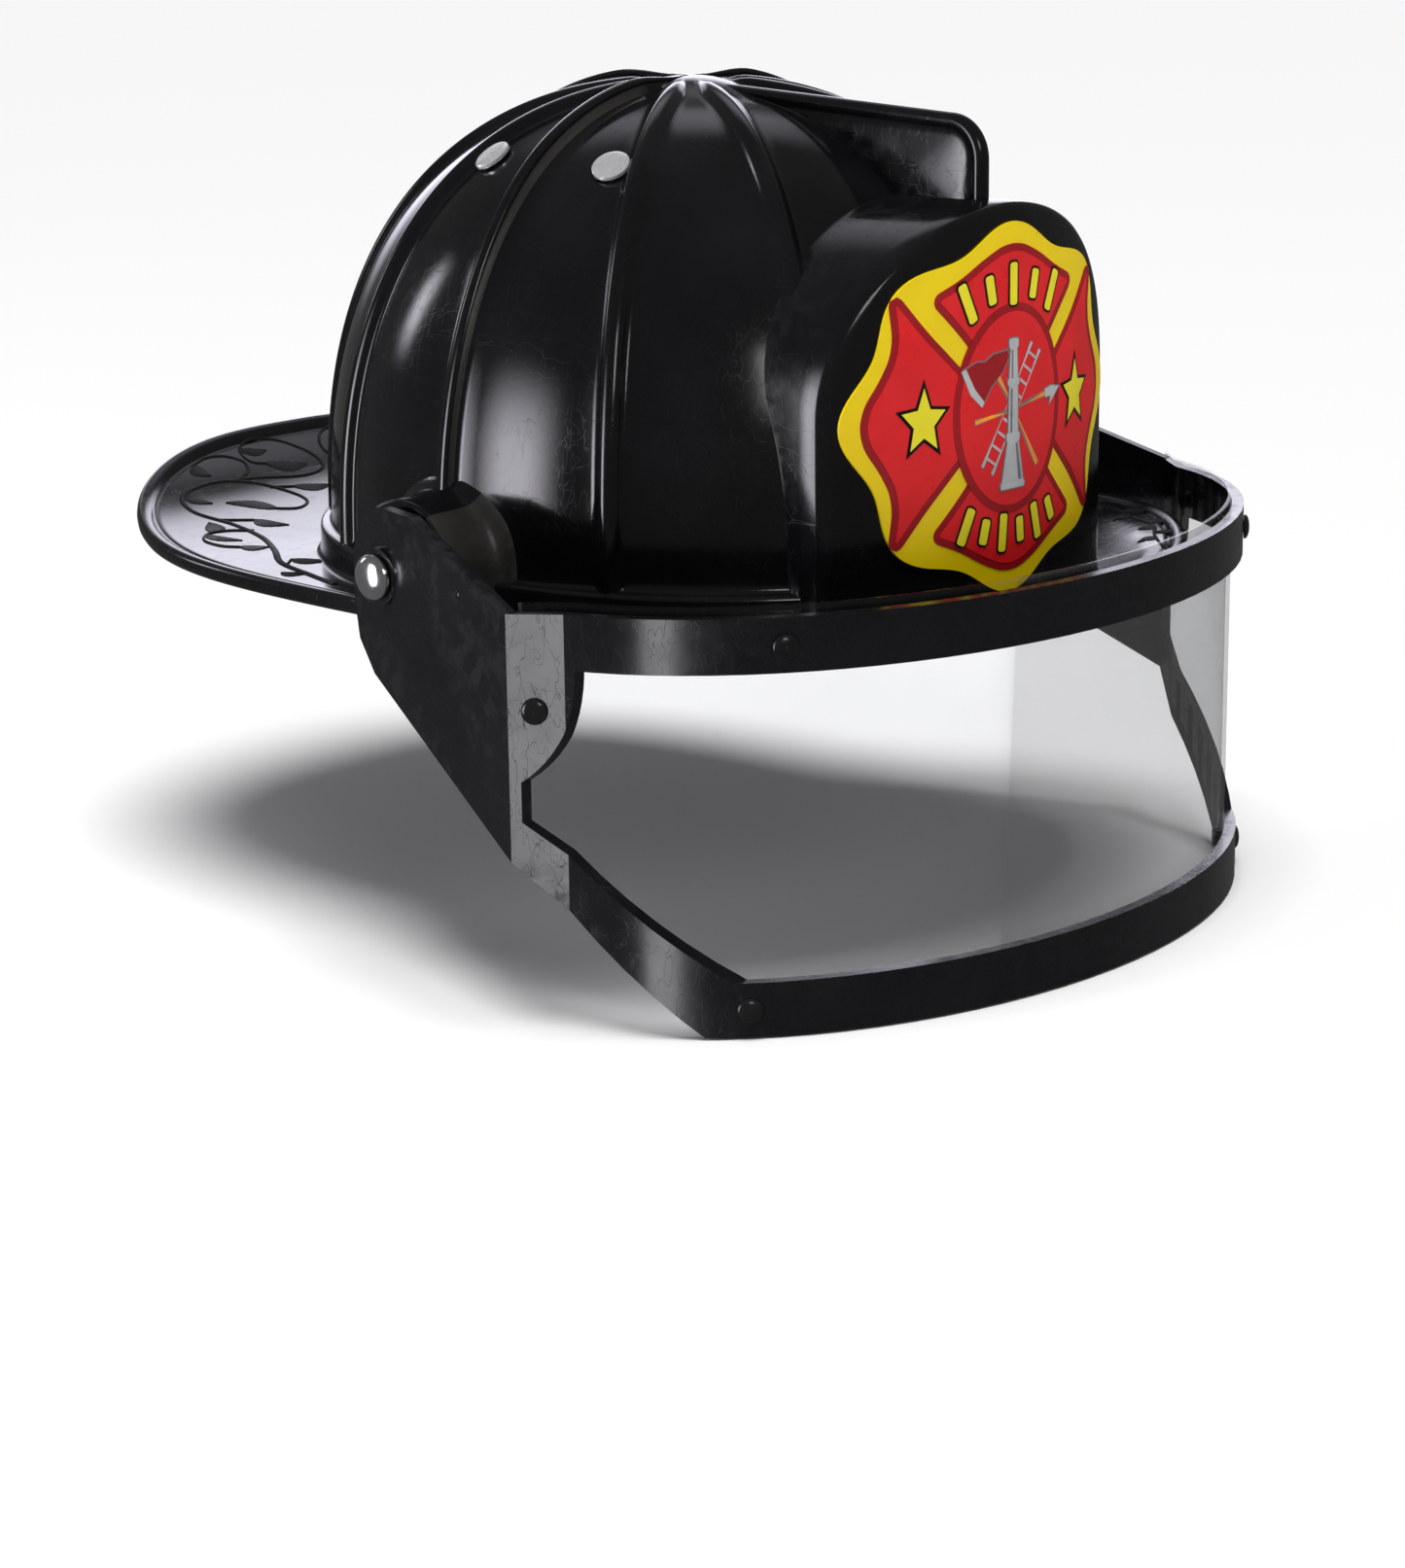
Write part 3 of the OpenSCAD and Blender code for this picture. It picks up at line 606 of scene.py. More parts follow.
# The rolled rim, round from above: distance in from the outline and lift
BRIM_RIM = (
    (5.3, 0.0), (4.95, -0.2), (4.55, -0.42), (4.1, -0.25), (3.8, 0.1), (3.2, 0.5), (2.3, 0.85),
    (1.4, 0.85), (0.6, 0.45), (0.15, -0.2), (0.0, -1.2), (0.15, -2.3), (0.6, -3.0), (1.6, -3.35),
    (3.0, -3.3), (4.0, -2.9), (5.0, -2.6),
)
BRIM_THICK = 2.6


def brim_edge():
    """The plan outline of the brim in evenly spaced points, its two halves blended."""
    loop = []
    for (half, mid, reach, power), sign in ((BRIM_FRONT, -1), (BRIM_REAR, 1)):
        for i in range(121):
            a = math.pi * i / 120
            x = sign * half * signed_pow(math.cos(a), power)
            loop.append(Vector((x, mid + sign * reach * abs(math.sin(a)) ** power)))
    loop.append(loop[0])
    lengths = [0.0]
    for a, b in zip(loop, loop[1:]):
        lengths.append(lengths[-1] + (b - a).length)
    count = 420
    out, j = [], 0
    for k in range(count):
        s = lengths[-1] * k / count
        while lengths[j + 1] < s:
            j += 1
        t = (s - lengths[j]) / max(1e-9, lengths[j + 1] - lengths[j])
        out.append(loop[j].lerp(loop[j + 1], t))
    for _ in range(3):
        out = [(out[i - 1] + out[i] * 2 + out[(i + 1) % count]) / 4 for i in range(count)]
    return out


def brim_height(x, y):
    """Top of the brim: flat by the crown, rising at the tail and curling up at the front rim."""
    _, mid, reach, _ = BRIM_REAR
    tail = 15 * (max(y - mid, 0) / reach) ** 5.5
    r = math.hypot(x, y)
    foot = ellipse_r(math.atan2(-x, -y), HALF_W + 4, HALF_L + 4)
    share = min(1.0, max(0.0, (r - foot) / 15.0))
    curl = 2.6 * (1 - smooth_step(y, -30, 30)) * share ** 2
    return BRIM_TOP + tail + curl


def brim():
    """The brim, from the foot of the crown out round its rolled rim and back beneath."""
    edge = brim_edge()
    n = len(edge)
    rim_inset = 6.0
    normals, base = [], []
    for i, p in enumerate(edge):
        t = edge[(i + 1) % n] - edge[i - 1]
        normals.append(Vector((t.y, -t.x)).normalized())
        base.append(Vector(around(math.atan2(-p.x, -p.y), HALF_W + 1.0, HALF_L + 1.0)))

    def sheet(share, lift):
        """A row at a share of the way from the crown to the rim."""
        rims = (p - nm * rim_inset for p, nm in zip(edge, normals))
        return [on_brim(b.lerp(rim, share), lift) for b, rim in zip(base, rims)]

    rows = [sheet(k / 12, 0.0) for k in range(13)]
    for inset, lift in BRIM_RIM:
        rows.append([on_brim(p - nm * inset, lift) for p, nm in zip(edge, normals)])
    rows += [sheet(k / 12, -BRIM_THICK) for k in range(12, -1, -2)]
    verts, faces = skin(rows, loop=True)
    build("shell_brim", verts, faces, [SHELL], "helmet", angle=50)


VINE_HIGH, LEAF_HIGH, VEIN_DEEP = 0.40, 0.42, 0.14
# Cross-sections over the half width: across, and share of the height
CORD = ((-1.0, -0.12), (-0.8, 0.55), (-0.35, 0.95), (0.35, 0.95), (0.8, 0.55), (1.0, -0.12))
BLADE = (
    (-1.0, -0.1), (-0.82, 0.55), (-0.45, 0.30), (-0.1, 0.62), (0.1, 0.62), (0.45, 0.30),
    (0.82, 0.55), (1.0, -0.1),
)


def on_brim(q, lift):
    """A point of the plan lifted off the top of the brim."""
    return q.x, q.y, brim_height(q.x, q.y) + lift


def ribbon(verts, faces, points, steps, width, thinning):
    """A low rounded cord lying on the brim, thinner towards its tip."""
    path = catmull(points, steps)
    n = len(path)
    rows = []
    for i, p in enumerate(path):
        t = (path[min(i + 1, n - 1)] - path[max(i - 1, 0)]).normalized()
        side = Vector((-t.y, t.x))
        w = width - thinning * (i / (n - 1))
        rows.append([on_brim(p + side * s * w, h * VINE_HIGH) for s, h in CORD])
    skin(rows, ends=(FLAT, FLAT), verts=verts, faces=faces)


def leaf(verts, faces, root, tip, width, bend):
    """A pointed leaf with a midrib and slanting veins."""
    root, tip = Vector(root), Vector(tip)
    along = tip - root
    side = Vector((-along.y, along.x)).normalized()
    count = 13
    rows = []
    for i in range(count):
        t = i / (count - 1)
        swell = math.sin(math.pi * min(1.0, t * 0.96 + 0.02)) ** 0.75 * (1.15 - 0.55 * t)
        half = width / 2 * swell
        middle = root + along * t + side * math.sin(math.pi * t) * bend * width
        row = []
        for c, h in BLADE:
            vein = VEIN_DEEP if i % 2 and 0.2 < abs(c) < 0.9 else 0.0
            row.append(on_brim(middle + side * half * c, (h - vein) * LEAF_HIGH))
        rows.append(row)
    skin(rows, ends=(FLAT, FLAT), verts=verts, faces=faces)


# One side of the trailing vine: points as [distance from the middle, distance behind the
# centre], then the width at the root and how much of it is gone at the tip
STEMS = (
    ([(84, 37), (80.5, 50), (76, 65), (67, 78), (60, 91), (57, 105), (58.5, 118), (55, 127),
      (47, 131), (37, 131.5), (29, 127), (25.5, 118), (27, 111), (33, 107.5), (38, 110)],
     1.0125, 0.6),
    ([(36, 131.5), (26, 130), (14, 127), (5, 129.5), (2.5, 137), (7, 144), (15, 146.5),
      (21.5, 143.5), (22.5, 138), (19, 136)], 0.6, 0.27),
    ([(33, 131.2), (27, 134), (24.5, 138.5), (28, 142), (34, 142.6), (40, 140.5)], 0.6, 0.27),
    ([(57, 97), (62, 101), (68, 101.5), (73, 97), (73.5, 90), (71, 86)], 0.55, 0.2475),
    ([(57.5, 110), (53, 107), (50, 105)], 0.5, 0.225),
    ([(28, 124), (22, 122)], 0.5, 0.225),
    ([(77, 62), (72, 66)], 0.5, 0.225),
    ([(81, 52), (84, 56)], 0.45, 0.2025),
)
FRONT_STEMS = (
    ([(97, -34), (93.5, -46), (93, -56), (87, -65), (82, -76), (72, -84), (63, -93)], 0.7, 0.3),
)
# Leaves as root, tip and width
LEAVES = (
    ((38, 110), (46.5, 120), 7.5), ((19, 136), (8, 132.5), 7.0), ((22, 143.2), (14, 141.5), 4.2),
    ((40, 140.5), (38.5, 135), 6.5), ((50, 105), (46.5, 96), 7.5), ((53.5, 128), (50, 121), 5.0),
    ((22, 122), (12, 119), 6.6), ((71, 86), (66, 81), 6.5), ((69.5, 101), (66, 91), 5.0),
    ((66, 102.5), (61, 109.5), 6.0), ((72, 66), (67, 58), 7.0), ((84, 56), (81, 51), 4.6),
)
FRONT_LEAVES = (
    ((93.5, -44), (100, -49), 4.6), ((93.5, -48), (88, -55), 4.2), ((91, -60), (97, -64), 4.8),
    ((88.5, -63.5), (82, -64), 4.4), ((83.5, -73), (90.5, -76), 4.8),
    ((82, -76), (75.5, -76.5), 4.4), ((75, -82), (82, -86), 4.6), ((71, -84.6), (65, -84), 4.2),
    ((64, -92), (70, -96), 4.2),
)


def vines():
    """The raised vine on each half of the brim, the left one a mirror of the right."""
    for side, label in SIDES:
        verts, faces = [], []
        for stems, steps, leaves, bend in (
            (STEMS, 9, LEAVES, 0.2), (FRONT_STEMS, 8, FRONT_LEAVES, 0.15),
        ):
            for points, width, thinning in stems:
                mirrored = [(side * x, y) for x, y in points]
                ribbon(verts, faces, mirrored, steps, width, thinning)
            for (x0, y0), (x1, y1), width in leaves:
                leaf(verts, faces, (side * x0, y0), (side * x1, y1), width, bend * side)
        build("shell_vine_" + label, verts, faces, [VINE], "helmet", angle=40)


# ---- badge

BADGE_Z = 42.5


def inside(poly, x, y):
    hit = False
    for (x1, y1), (x2, y2) in zip(poly, poly[1:] + poly[:1]):
        if (y1 > y) != (y2 > y) and x < (x2 - x1) * (y - y1) / (y2 - y1) + x1:
            hit = not hit
    return hit


def decal(name, outline, low, high, material, replaces=()):
    """A printed layer wrapped on the shield face: outline in mm from the badge centre."""
    grid, rim_clear = 2.6, 0.7
    xs, zs = [p[0] for p in outline], [p[1] for p in outline]
    rim = [Vector(p) for p in outline]
    pts = list(rim)
    x = min(xs) + grid / 2
    row = 0
    while x < max(xs):
        z = min(zs) + (grid / 2 if row % 2 else 0)
        while z < max(zs):
            spot = Vector((x, z))
            if inside(outline, x, z) and min((spot - p).length for p in rim) > rim_clear:
                pts.append(spot)
            z += grid
        x += grid
        row += 1
    edges = [(i, (i + 1) % len(rim)) for i in range(len(rim))]
    out, _, tris, _, _, _ = geometry.delaunay_2d_cdt(pts, edges, [], 0, 1e-5)
    keep = []
    for t in tris:
        cx, cz = (sum(out[i][axis] for i in t) / len(t) for axis in (0, 1))
        if inside(outline, cx, cz):
            keep.append(tuple(t))
    n = len(out)
    verts = [(p.x, shield_face_y(p.x, lift), p.y + BADGE_Z) for lift in (high, low) for p in out]
    faces = keep + [tuple(n + i for i in reversed(t)) for t in keep]
    sides = Counter(tuple(sorted((a, b))) for t in keep for a, b in zip(t, t[1:] + t[:1]))
    faces += [(a, b, n + b, n + a) for (a, b), uses in sides.items() if uses == 1]
    build(
        name, verts, faces, [material], "helmet", replaces, angle=35, merge=1e-9
    )


def grow(poly, d):
    """Moves each side of an outline outward by d, with mitred corners."""
    n = len(poly)
    after = poly[1:] + poly[:1]
    area = sum(x1 * y2 - x2 * y1 for (x1, y1), (x2, y2) in zip(poly, after))
    sign = 1 if area > 0 else -1
    out = []
    for i in range(n):
        a, b, c = Vector(poly[i - 1]), Vector(poly[i]), Vector(after[i])
        e1, e2 = (b - a).normalized(), (c - b).normalized()
        n1, n2 = Vector((e1.y, -e1.x)) * sign, Vector((e2.y, -e2.x)) * sign
        mid = n1 + n2
        k = d / max(0.35, mid.length / 2) if mid.length > 1e-6 else d
        q = b + (mid.normalized() if mid.length > 1e-6 else n1) * k
        out.append((q.x, q.y))
    return out


def turned(poly, angle, x=0.0, z=0.0):
    """An outline turned about its origin, then moved."""
    c, s = math.cos(angle), math.sin(angle)
    return [(x + px * c - pz * s, z + px * s + pz * c) for px, pz in poly]


def oval(rx, rz):
    return [(rx * math.cos(TAU * i / 64), rz * math.sin(TAU * i / 64)) for i in range(64)]


def rounded_bar(x, z, w, h, turn=0.0):
    """An upright bar with rounded ends, turned about its own middle."""
    pts = []
    r = min(w, h) * 0.28
    for cx, cz, a0 in ((w, h, 0), (-w, h, 90), (-w, -h, 180), (w, -h, 270)):
        for k in range(5):
            a = math.radians(a0 + 90 * k / 4)
            px = math.copysign(abs(cx / 2) - r, cx) + r * math.cos(a)
            pz = math.copysign(abs(cz / 2) - r, cz) + r * math.sin(a)
            pts.append((px, pz))
    return turned(pts, turn, x, z)


def star(x, r):
    """A five-pointed star, a little taller than wide."""
    out = []
    for i in range(10):
        k = r * 0.46 if i % 2 else r
        a = math.pi / 2 + math.pi * i / 5
        out.append((x + k * math.cos(a), k * math.sin(a) * 1.25))
    return out


def smooth_arm(points, steps=5):
    """Rounds an outline a little while keeping its sharp tips."""
    out = []
    for i, p in enumerate(points):
        a, b, c = Vector(points[i - 1]), Vector(p), Vector(points[(i + 1) % len(points)])
        e1, e2 = a - b, c - b
        sharp = e1.angle(e2) < math.radians(110)
        r = 0.9 if sharp else min(e1.length, e2.length) * 0.45
        p0, p2 = b + e1.normalized() * r, b + e2.normalized() * r
        for s in range(steps + 1):
            t = s / steps
            q = p0 * (1 - t) ** 2 + b * 2 * t * (1 - t) + p2 * t * t
            out.append((q.x, q.y))
    return out


# Arms of the cross: inner corners hug the oval, outer sides are waved
SIDE_ARM = [
    (40.5, 0.0), (39.6, 4.0), (36.2, 9.0), (33.6, 14.0), (32.8, 19.0), (33.8, 26.4), (27.0, 18.4),
    (14.6, 6.8), (11.0, 0.0), (14.6, -6.8), (27.0, -18.4), (33.8, -26.4), (32.8, -19.0),
    (33.6, -14.0), (36.2, -9.0), (39.6, -4.0),
]
TOP_ARM = [
    (-22.6, 26.0), (-16.0, 28.6), (-9.0, 32.4), (-3.5, 34.6), (0, 35.0), (3.5, 34.6), (9.0, 32.4),
    (16.0, 28.6), (22.6, 26.0), (16.4, 20.0), (8.4, 11.4), (0, 10.0), (-8.4, 11.4), (-16.4, 20.0),
]


def badge():
    """The printed badge: a scalloped field, a four-armed cross, an oval and its ornament."""
    rim = []
    for i in range(160):
        a = TAU * i / 160
        k = 1 + 0.05 * math.cos(8 * a)
        rim.append((44.3 * k * math.cos(a), 39.5 * k * math.sin(a)))
    decal("badge_field", rim, 0.1, 0.55, YELLOW, ("badge_sticker",))
    side, top = smooth_arm(SIDE_ARM), smooth_arm(TOP_ARM)
    for label, poly in (
        ("top", top),
        ("bottom", [(x, -z) for x, z in reversed(top)]),
        ("left_side", side),
        ("right_side", [(-x, z) for x, z in reversed(side)]),
    ):
        decal("badge_arm_edge_" + label, grow(poly, 1.7), 0.5, 0.66, CRIMSON)
        decal("badge_arm_" + label, poly, 0.6, 0.74, RED)
    decal("badge_oval_edge", oval(18.8, 23.6), 0.6, 0.82, CRIMSON)
    decal("badge_oval", oval(16.9, 21.7), 0.7, 0.88, RED)
    # Ornament in the arms: fanned bars above and below, a star at each side
    fan_r = 27.6
    for label, sign, count, apart, heights in (
        ("top", 1, 5, 0.235, (9.4, 6.6)), ("bottom", -1, 6, 0.19, (8.6, 5.8)),
    ):
        for k in range(count):
            a = (k - (count - 1) / 2) * apart
            x, z = fan_r * math.sin(a) * 1.18, sign * (fan_r * math.cos(a) + 0.2)
            bar = rounded_bar(x, z, 2.5, heights[k % 2], -a * sign * 0.9)
            decal(f"badge_bar_edge_{label}_{k}", grow(bar, 0.55), 0.7, 0.86, INK_BLACK)
            decal(f"badge_bar_{label}_{k}", bar, 0.8, 0.92, LEMON)
    for side, label in SIDES:
        s = star(side * 26.8, 6.0)
        decal("badge_star_edge_" + label, grow(s, 0.7), 0.7, 0.86, INK_BLACK)
        decal("badge_star_" + label, s, 0.8, 0.92, LEMON)
    emblem()


PIKE = [(-0.9, 0), (0.9, 0), (1.2, 2.4), (2.8, 1.6), (1.6, 3.6), (0, 6.2), (-1.1, 2.6)]
AXE = [
    (-1.5, -2.6), (1.5, -3.0), (3.6, -4.6), (7.6, -5.6), (8.3, 0.2), (7.2, 4.4), (3.0, 2.8),
    (-1.5, 2.6), (-5.4, 1.0), (-5.6, -0.4),
]
BLADE_EDGE = [(6.9, -5.45), (8.2, -5.8), (9.0, 0.2), (7.8, 4.8), (6.6, 4.2), (7.3, 0.0)]


def emblem():
    """Crossed axe and pike pole over a ladder and a hose nozzle, an own simple design."""
    ladder, pole, axe = (math.radians(d) for d in (-33, -82, 34))
    head = (axe + math.pi, -6.6, 9.8)
    # Label, outline, level in the stack, ink and width of the grey edge
    marks = [
        (f"rail_{k}", turned(rounded_bar(x, 0, 0.75, 31), ladder), 0.0, SILVER, 0.2)
        for k, x in enumerate((-1.9, 1.9))
    ]
    marks += [
        (f"rung_{k}", turned(rounded_bar(0, -13.2 + 3.3 * k, 3.4, 0.6), ladder), 0.01, SILVER, 0)
        for k in range(9)
    ]
    marks += [
        ("pole", turned(rounded_bar(0, 0, 0.95, 25), pole), 0.05, ORANGE, 0.2),
        ("pike", turned(PIKE, pole, 12.4, 1.75), 0.06, SILVER, 0.25),
        ("handle", turned(rounded_bar(0, -2, 1.3, 29), axe), 0.09, ORANGE, 0.2),
        ("axe", turned(AXE, *head), 0.11, CRIMSON, 0.35),
        ("blade", turned(BLADE_EDGE, *head), 0.13, SILVER, 0),
        ("nozzle_tip", rounded_bar(0, 14.6, 3.2, 2.2), 0.16, SILVER, 0.3),
        ("nozzle_neck", [(-1.1, 13.6), (1.1, 13.6), (1.5, 6.4), (-1.5, 6.4)], 0.15, SILVER, 0.3),
        ("nozzle_ring", rounded_bar(0, 6.0, 4.0, 1.6), 0.17, SILVER, 0.3),
        ("nozzle_body", [(-1.5, 5.2), (1.5, 5.2), (1.7, -6.0), (-1.7, -6.0)], 0.15, SILVER, 0.3),
        ("nozzle_collar", rounded_bar(0, -6.4, 4.6, 2.0), 0.18, SILVER, 0.3),
        ("nozzle_bell", [(-1.9, -7.2), (1.9, -7.2), (3.9, -17), (-3.9, -17)], 0.16, SILVER, 0.3),
        ("nozzle_lip", rounded_bar(0, -17.2, 8.4, 1.5), 0.19, SILVER, 0.3),
    ]
    for label, poly, level, ink, edge in marks:
        if edge:
            decal("badge_mark_edge_" + label, grow(poly, edge), 0.8, 0.90 + level, GREY)
        decal("badge_mark_" + label, poly, 0.8, 0.94 + level, ink)
    for label, poly, high in (
        ("neck", rounded_bar(-0.5, 10.0, 0.5, 6.4), 1.15),
        ("body", rounded_bar(-0.7, -0.4, 0.6, 10.0), 1.15),
        ("bell", [(0.9, -7.8), (1.5, -7.8), (3.1, -16.2), (2.0, -16.2)], 1.16),
    ):
        decal("badge_mark_shine_" + label, poly, 0.9, high, GREY)


# ---- visor

def visor_pt(a, inset=0.0):
    """A point of the visor's curved front in plan, at an angle from straight ahead."""
    return ((VISOR_RX - inset) * math.sin(a), VISOR_MID - (VISOR_RY - inset) * math.cos(a))


def visor_frame_piece():
    """The CAD frame with its flat triangles merged and every edge rounded."""
    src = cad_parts["visor_frame"]
    me = src.data.copy()
    me.transform(src.matrix_world)
    me.materials.clear()
    me.materials.append(VISOR)
    me.polygons.foreach_set("material_index", [0] * len(me.polygons))
    bm = bmesh.new()
    bm.from_mesh(me)
    bmesh.ops.remove_doubles(bm, verts=bm.verts, dist=2e-6)
    bmesh.ops.dissolve_limit(bm, angle_limit=math.radians(0.6), verts=bm.verts, edges=bm.edges)
    bm.to_mesh(me)
    bm.free()
    o = place_object("visor_frame_body", me)
    me.shade_smooth()
    bev = o.modifiers.new("round", "BEVEL")
    bev.width = 0.0006
    bev.segments = 2
    bev.limit_method = "ANGLE"
    bev.angle_limit = math.radians(13)
    flat = o.modifiers.new("flat", "WEIGHTED_NORMAL")
    flat.mode = "FACE_AREA"
    flat.weight = 90
    rounded = o.evaluated_get(bpy.context.evaluated_depsgraph_get())
    done = bpy.data.meshes.new_from_object(rounded)
    o.modifiers.clear()
    o.data = done
    tag(o, "visor", ("visor_frame",))


def visor_plan(inset, side_y):
    """The plan line of the lens from one crease to the other, finely spaced."""
    x_side = VISOR_HALF - inset
    qx, qy = visor_pt(-math.radians(FRONT_SPAN), inset)
    shares = [i / 5 for i in range(5)]
    side = [(-x_side + (qx + x_side) * t, side_y + (qy - side_y) * t) for t in shares]
    angles = [math.radians(-FRONT_SPAN + 2 * FRONT_SPAN * i / 120) for i in range(121)]
    front = [visor_pt(a, inset) for a in angles]
    return side + front + [(-x, y) for x, y in reversed(side)]


def lens():
    """The clear sheet inside the frame, its lower edge following the frame's."""
    low, high = VISOR_LOW + 4, VISOR_TOP + 2
    outer, inner = (visor_plan(inset, CREASE_Y - 1) for inset in (2.9, 3.9))
    slope = (VISOR_LOW - CREASE_LOW) / (-90.3 - CREASE_Y)
    rows = []
    for (xo, yo), (xi, yi) in zip(outer, inner):
        bottom = max(low, CREASE_LOW + 4 + slope * (yo - CREASE_Y))
        levels = [bottom + (high - bottom) * k / 12 for k in range(13)]
        col = [(xo, yo, z) for z in levels] + [((xo + xi) / 2, (yo + yi) / 2, high + 0.12)]
        rows.append(col + [(xi, yi, z) for z in reversed(levels)])
    verts, faces = skin(rows, ends=(FLAT, FLAT))
    build(
        "visor_lens_sheet", verts, faces, [LENS], "visor", ("visor_lens",), angle=40
    )


def plate_dimples():
    """The small moulded pip on the outside of each side plate."""
    toe, along, pip_z = math.radians(PLATE_TOE), 21, 10.4
    c, s = math.cos(toe), math.sin(toe)
    profile = [
        (0.02, -0.4), (1.1, -0.4), (1.1, 0.0), (1.0, 0.12), (0.75, 0.24), (0.4, 0.3), (0.02, 0.32),
    ]
    for side, label in SIDES:
        origin = (side * (VISOR_HALF - along * s), CREASE_Y + along * c, pip_z)
        place = axis_frame(origin, (side * c, s, 0))
        lathe("visor_pip_" + label, profile, place, VISOR, "visor", "visor_plastic", (), 20)


def lens_rivets():
    """Black push rivets through the frame and the lens: two in front and one by each crease."""
    depth = 2.8 + 0.2 + 1.0
    profile = [
        (0.02, -depth - 1.0), (2.2, -depth - 1.0), (2.5, -depth - 0.75), (2.5, -depth - 0.02),
        (1.5, -depth), (1.5, 0.08), (2.75, 0.1), (2.92, 0.25), (2.85, 0.55),
    ]
    profile += [(2.8 * math.cos(a), 0.5 + 0.95 * math.sin(a)) for a in quarter(10, 2, 9)]
    profile += [(0.02, 1.45)]
    corner_y, corner_z = -59.6, -11
    qx, qy = visor_pt(math.radians(FRONT_SPAN))
    dx, dy = qx - VISOR_HALF, qy - CREASE_Y
    corner_x = VISOR_HALF + dx * ((corner_y - CREASE_Y) / dy)
    for side, label in SIDES:
        spots = []
        for kind, angle, z in (("top", 47, 3.6), ("bottom", 52, -76)):
            a = math.radians(angle)
            x, y = visor_pt(a)
            turn = math.atan2(math.sin(a) / VISOR_RX, math.cos(a) / VISOR_RY)
            spots.append((kind, (side * x, y, z), (side * math.sin(turn), -math.cos(turn), 0)))
        spots.append(("corner", (side * corner_x, corner_y, corner_z), (side * -dy, dx, 0)))
        for kind, origin, out in spots:
            name = f"visor_rivet_{kind}_{label}"
            place = axis_frame(origin, out)
            lathe(name + "_cap", profile, place, RIVET, "visor", "rivet_plastic", (name,), 32)


def hinges():
    """Each visor pivot: a chrome-headed rivet, a washer and a retainer inside the boss."""
    frame_thick, pad_out, pad_in, move_gap, seat_gap = 2.8, 1.6, 2, 0.4, 0.1
    washer, boss_wall, retainer = 1.4, 2.6, 1.6
    # Distances from the middle of the helmet along the hinge line
    face = VISOR_HALF - 55 * math.tan(math.radians(PLATE_TOE))
    head = face + pad_out + 0.4
    w1 = face - frame_thick - pad_in - move_gap
    w0 = w1 - washer
    r0 = w0 - seat_gap - boss_wall - seat_gap - retainer
    end = r0 - 1
    cap = [
        (0.02, end), (2.0, end), (2.4, end + 0.4), (2.4, head), (4.9, head), (5.2, head + 0.25),
        (5.2, head + 0.5),
    ]
    cap += [(5.15 * math.cos(a), head + 0.5 + 2.1 * math.sin(a)) for a in quarter(12, 1, 11)]
    cap += [(0.02, head + 2.6)]
    ring = [(2.45, w0), (5.7, w0), (6.0, w0 + 0.25), (6.0, w1 - 0.25), (5.7, w1), (2.45, w1)]
    clip = [
        (2.42, r0), (4.8, r0), (5.0, r0 + 0.2), (5.0, r0 + 0.7), (4.2, r0 + 1.2), (3.4, r0 + 1.6),
        (2.42, r0 + 1.6),
    ]
    for side, label in SIDES:
        place = axis_frame((0, 0, HINGE_Z), (side, 0, 0))
        for make, name, profile, ink, slot, node_name, steps in (
            (lathe, "cap", cap, CHROME, "chrome", "hinge_rivet_", 56),
            (tube, "washer_ring", ring, WASHER, "washer_plastic", "hinge_washer_", 48),
            (tube, "clip", clip, STEEL, "retainer_steel", "hinge_retainer_", 48),
        ):
            replaced = (node_name + label,)
            make(f"hinge_{name}_{label}", profile, place, ink, "helmet", slot, replaced, steps)


def buttons():
    """The four chrome discs on the crown, each with its retainer under the straps."""
    rho, strap_in, retainer = 0.595, -3.9 - 1.2, 1.3
    deep, r0 = strap_in - retainer - 1.4, strap_in - retainer - 0.9
    disc = [
        (0.02, deep), (1.2, deep), (1.6, deep + 0.4), (1.6, 0.3), (4.1, 0.32), (4.45, 0.5),
        (4.5, 0.9), (4.42, 1.3), (4.1, 1.55), (3.4, 1.66), (2.0, 1.72), (0.02, 1.74),
    ]
    nut = [
        (1.62, r0), (4.7, r0), (5.0, r0 + 0.3), (5.0, r0 + 0.9), (4.5, r0 + retainer),
        (1.62, r0 + retainer),
    ]
    h = (1 - rho ** POWER) ** (1 / POWER)
    k = rho ** (POWER - 2)
    for azimuth, label in (
        (67.8, "front_right"), (-67.8, "front_left"), (112.2, "rear_right"), (247.8, "rear_left"),
    ):
        ex, ey = around(math.radians(azimuth), HALF_W, HALF_L)
        x, y = ex * rho, ey * rho
        normal = (k * x / HALF_W ** 2, k * y / HALF_L ** 2, h ** (POWER - 1) / CROWN_H)
        place = axis_frame((x, y, FOOT_TOP + CROWN_H * h), normal)
        replaced = ("crown_button_" + label,)
        lathe("crown_disc_" + label, disc, place, DISC, "helmet", "chrome", replaced)
        replaced = ("button_retainer_" + label,)
        tube("crown_nut_" + label, nut, place, NATURAL, "helmet", "retainer_plastic", replaced, 40)


# ---- suspension

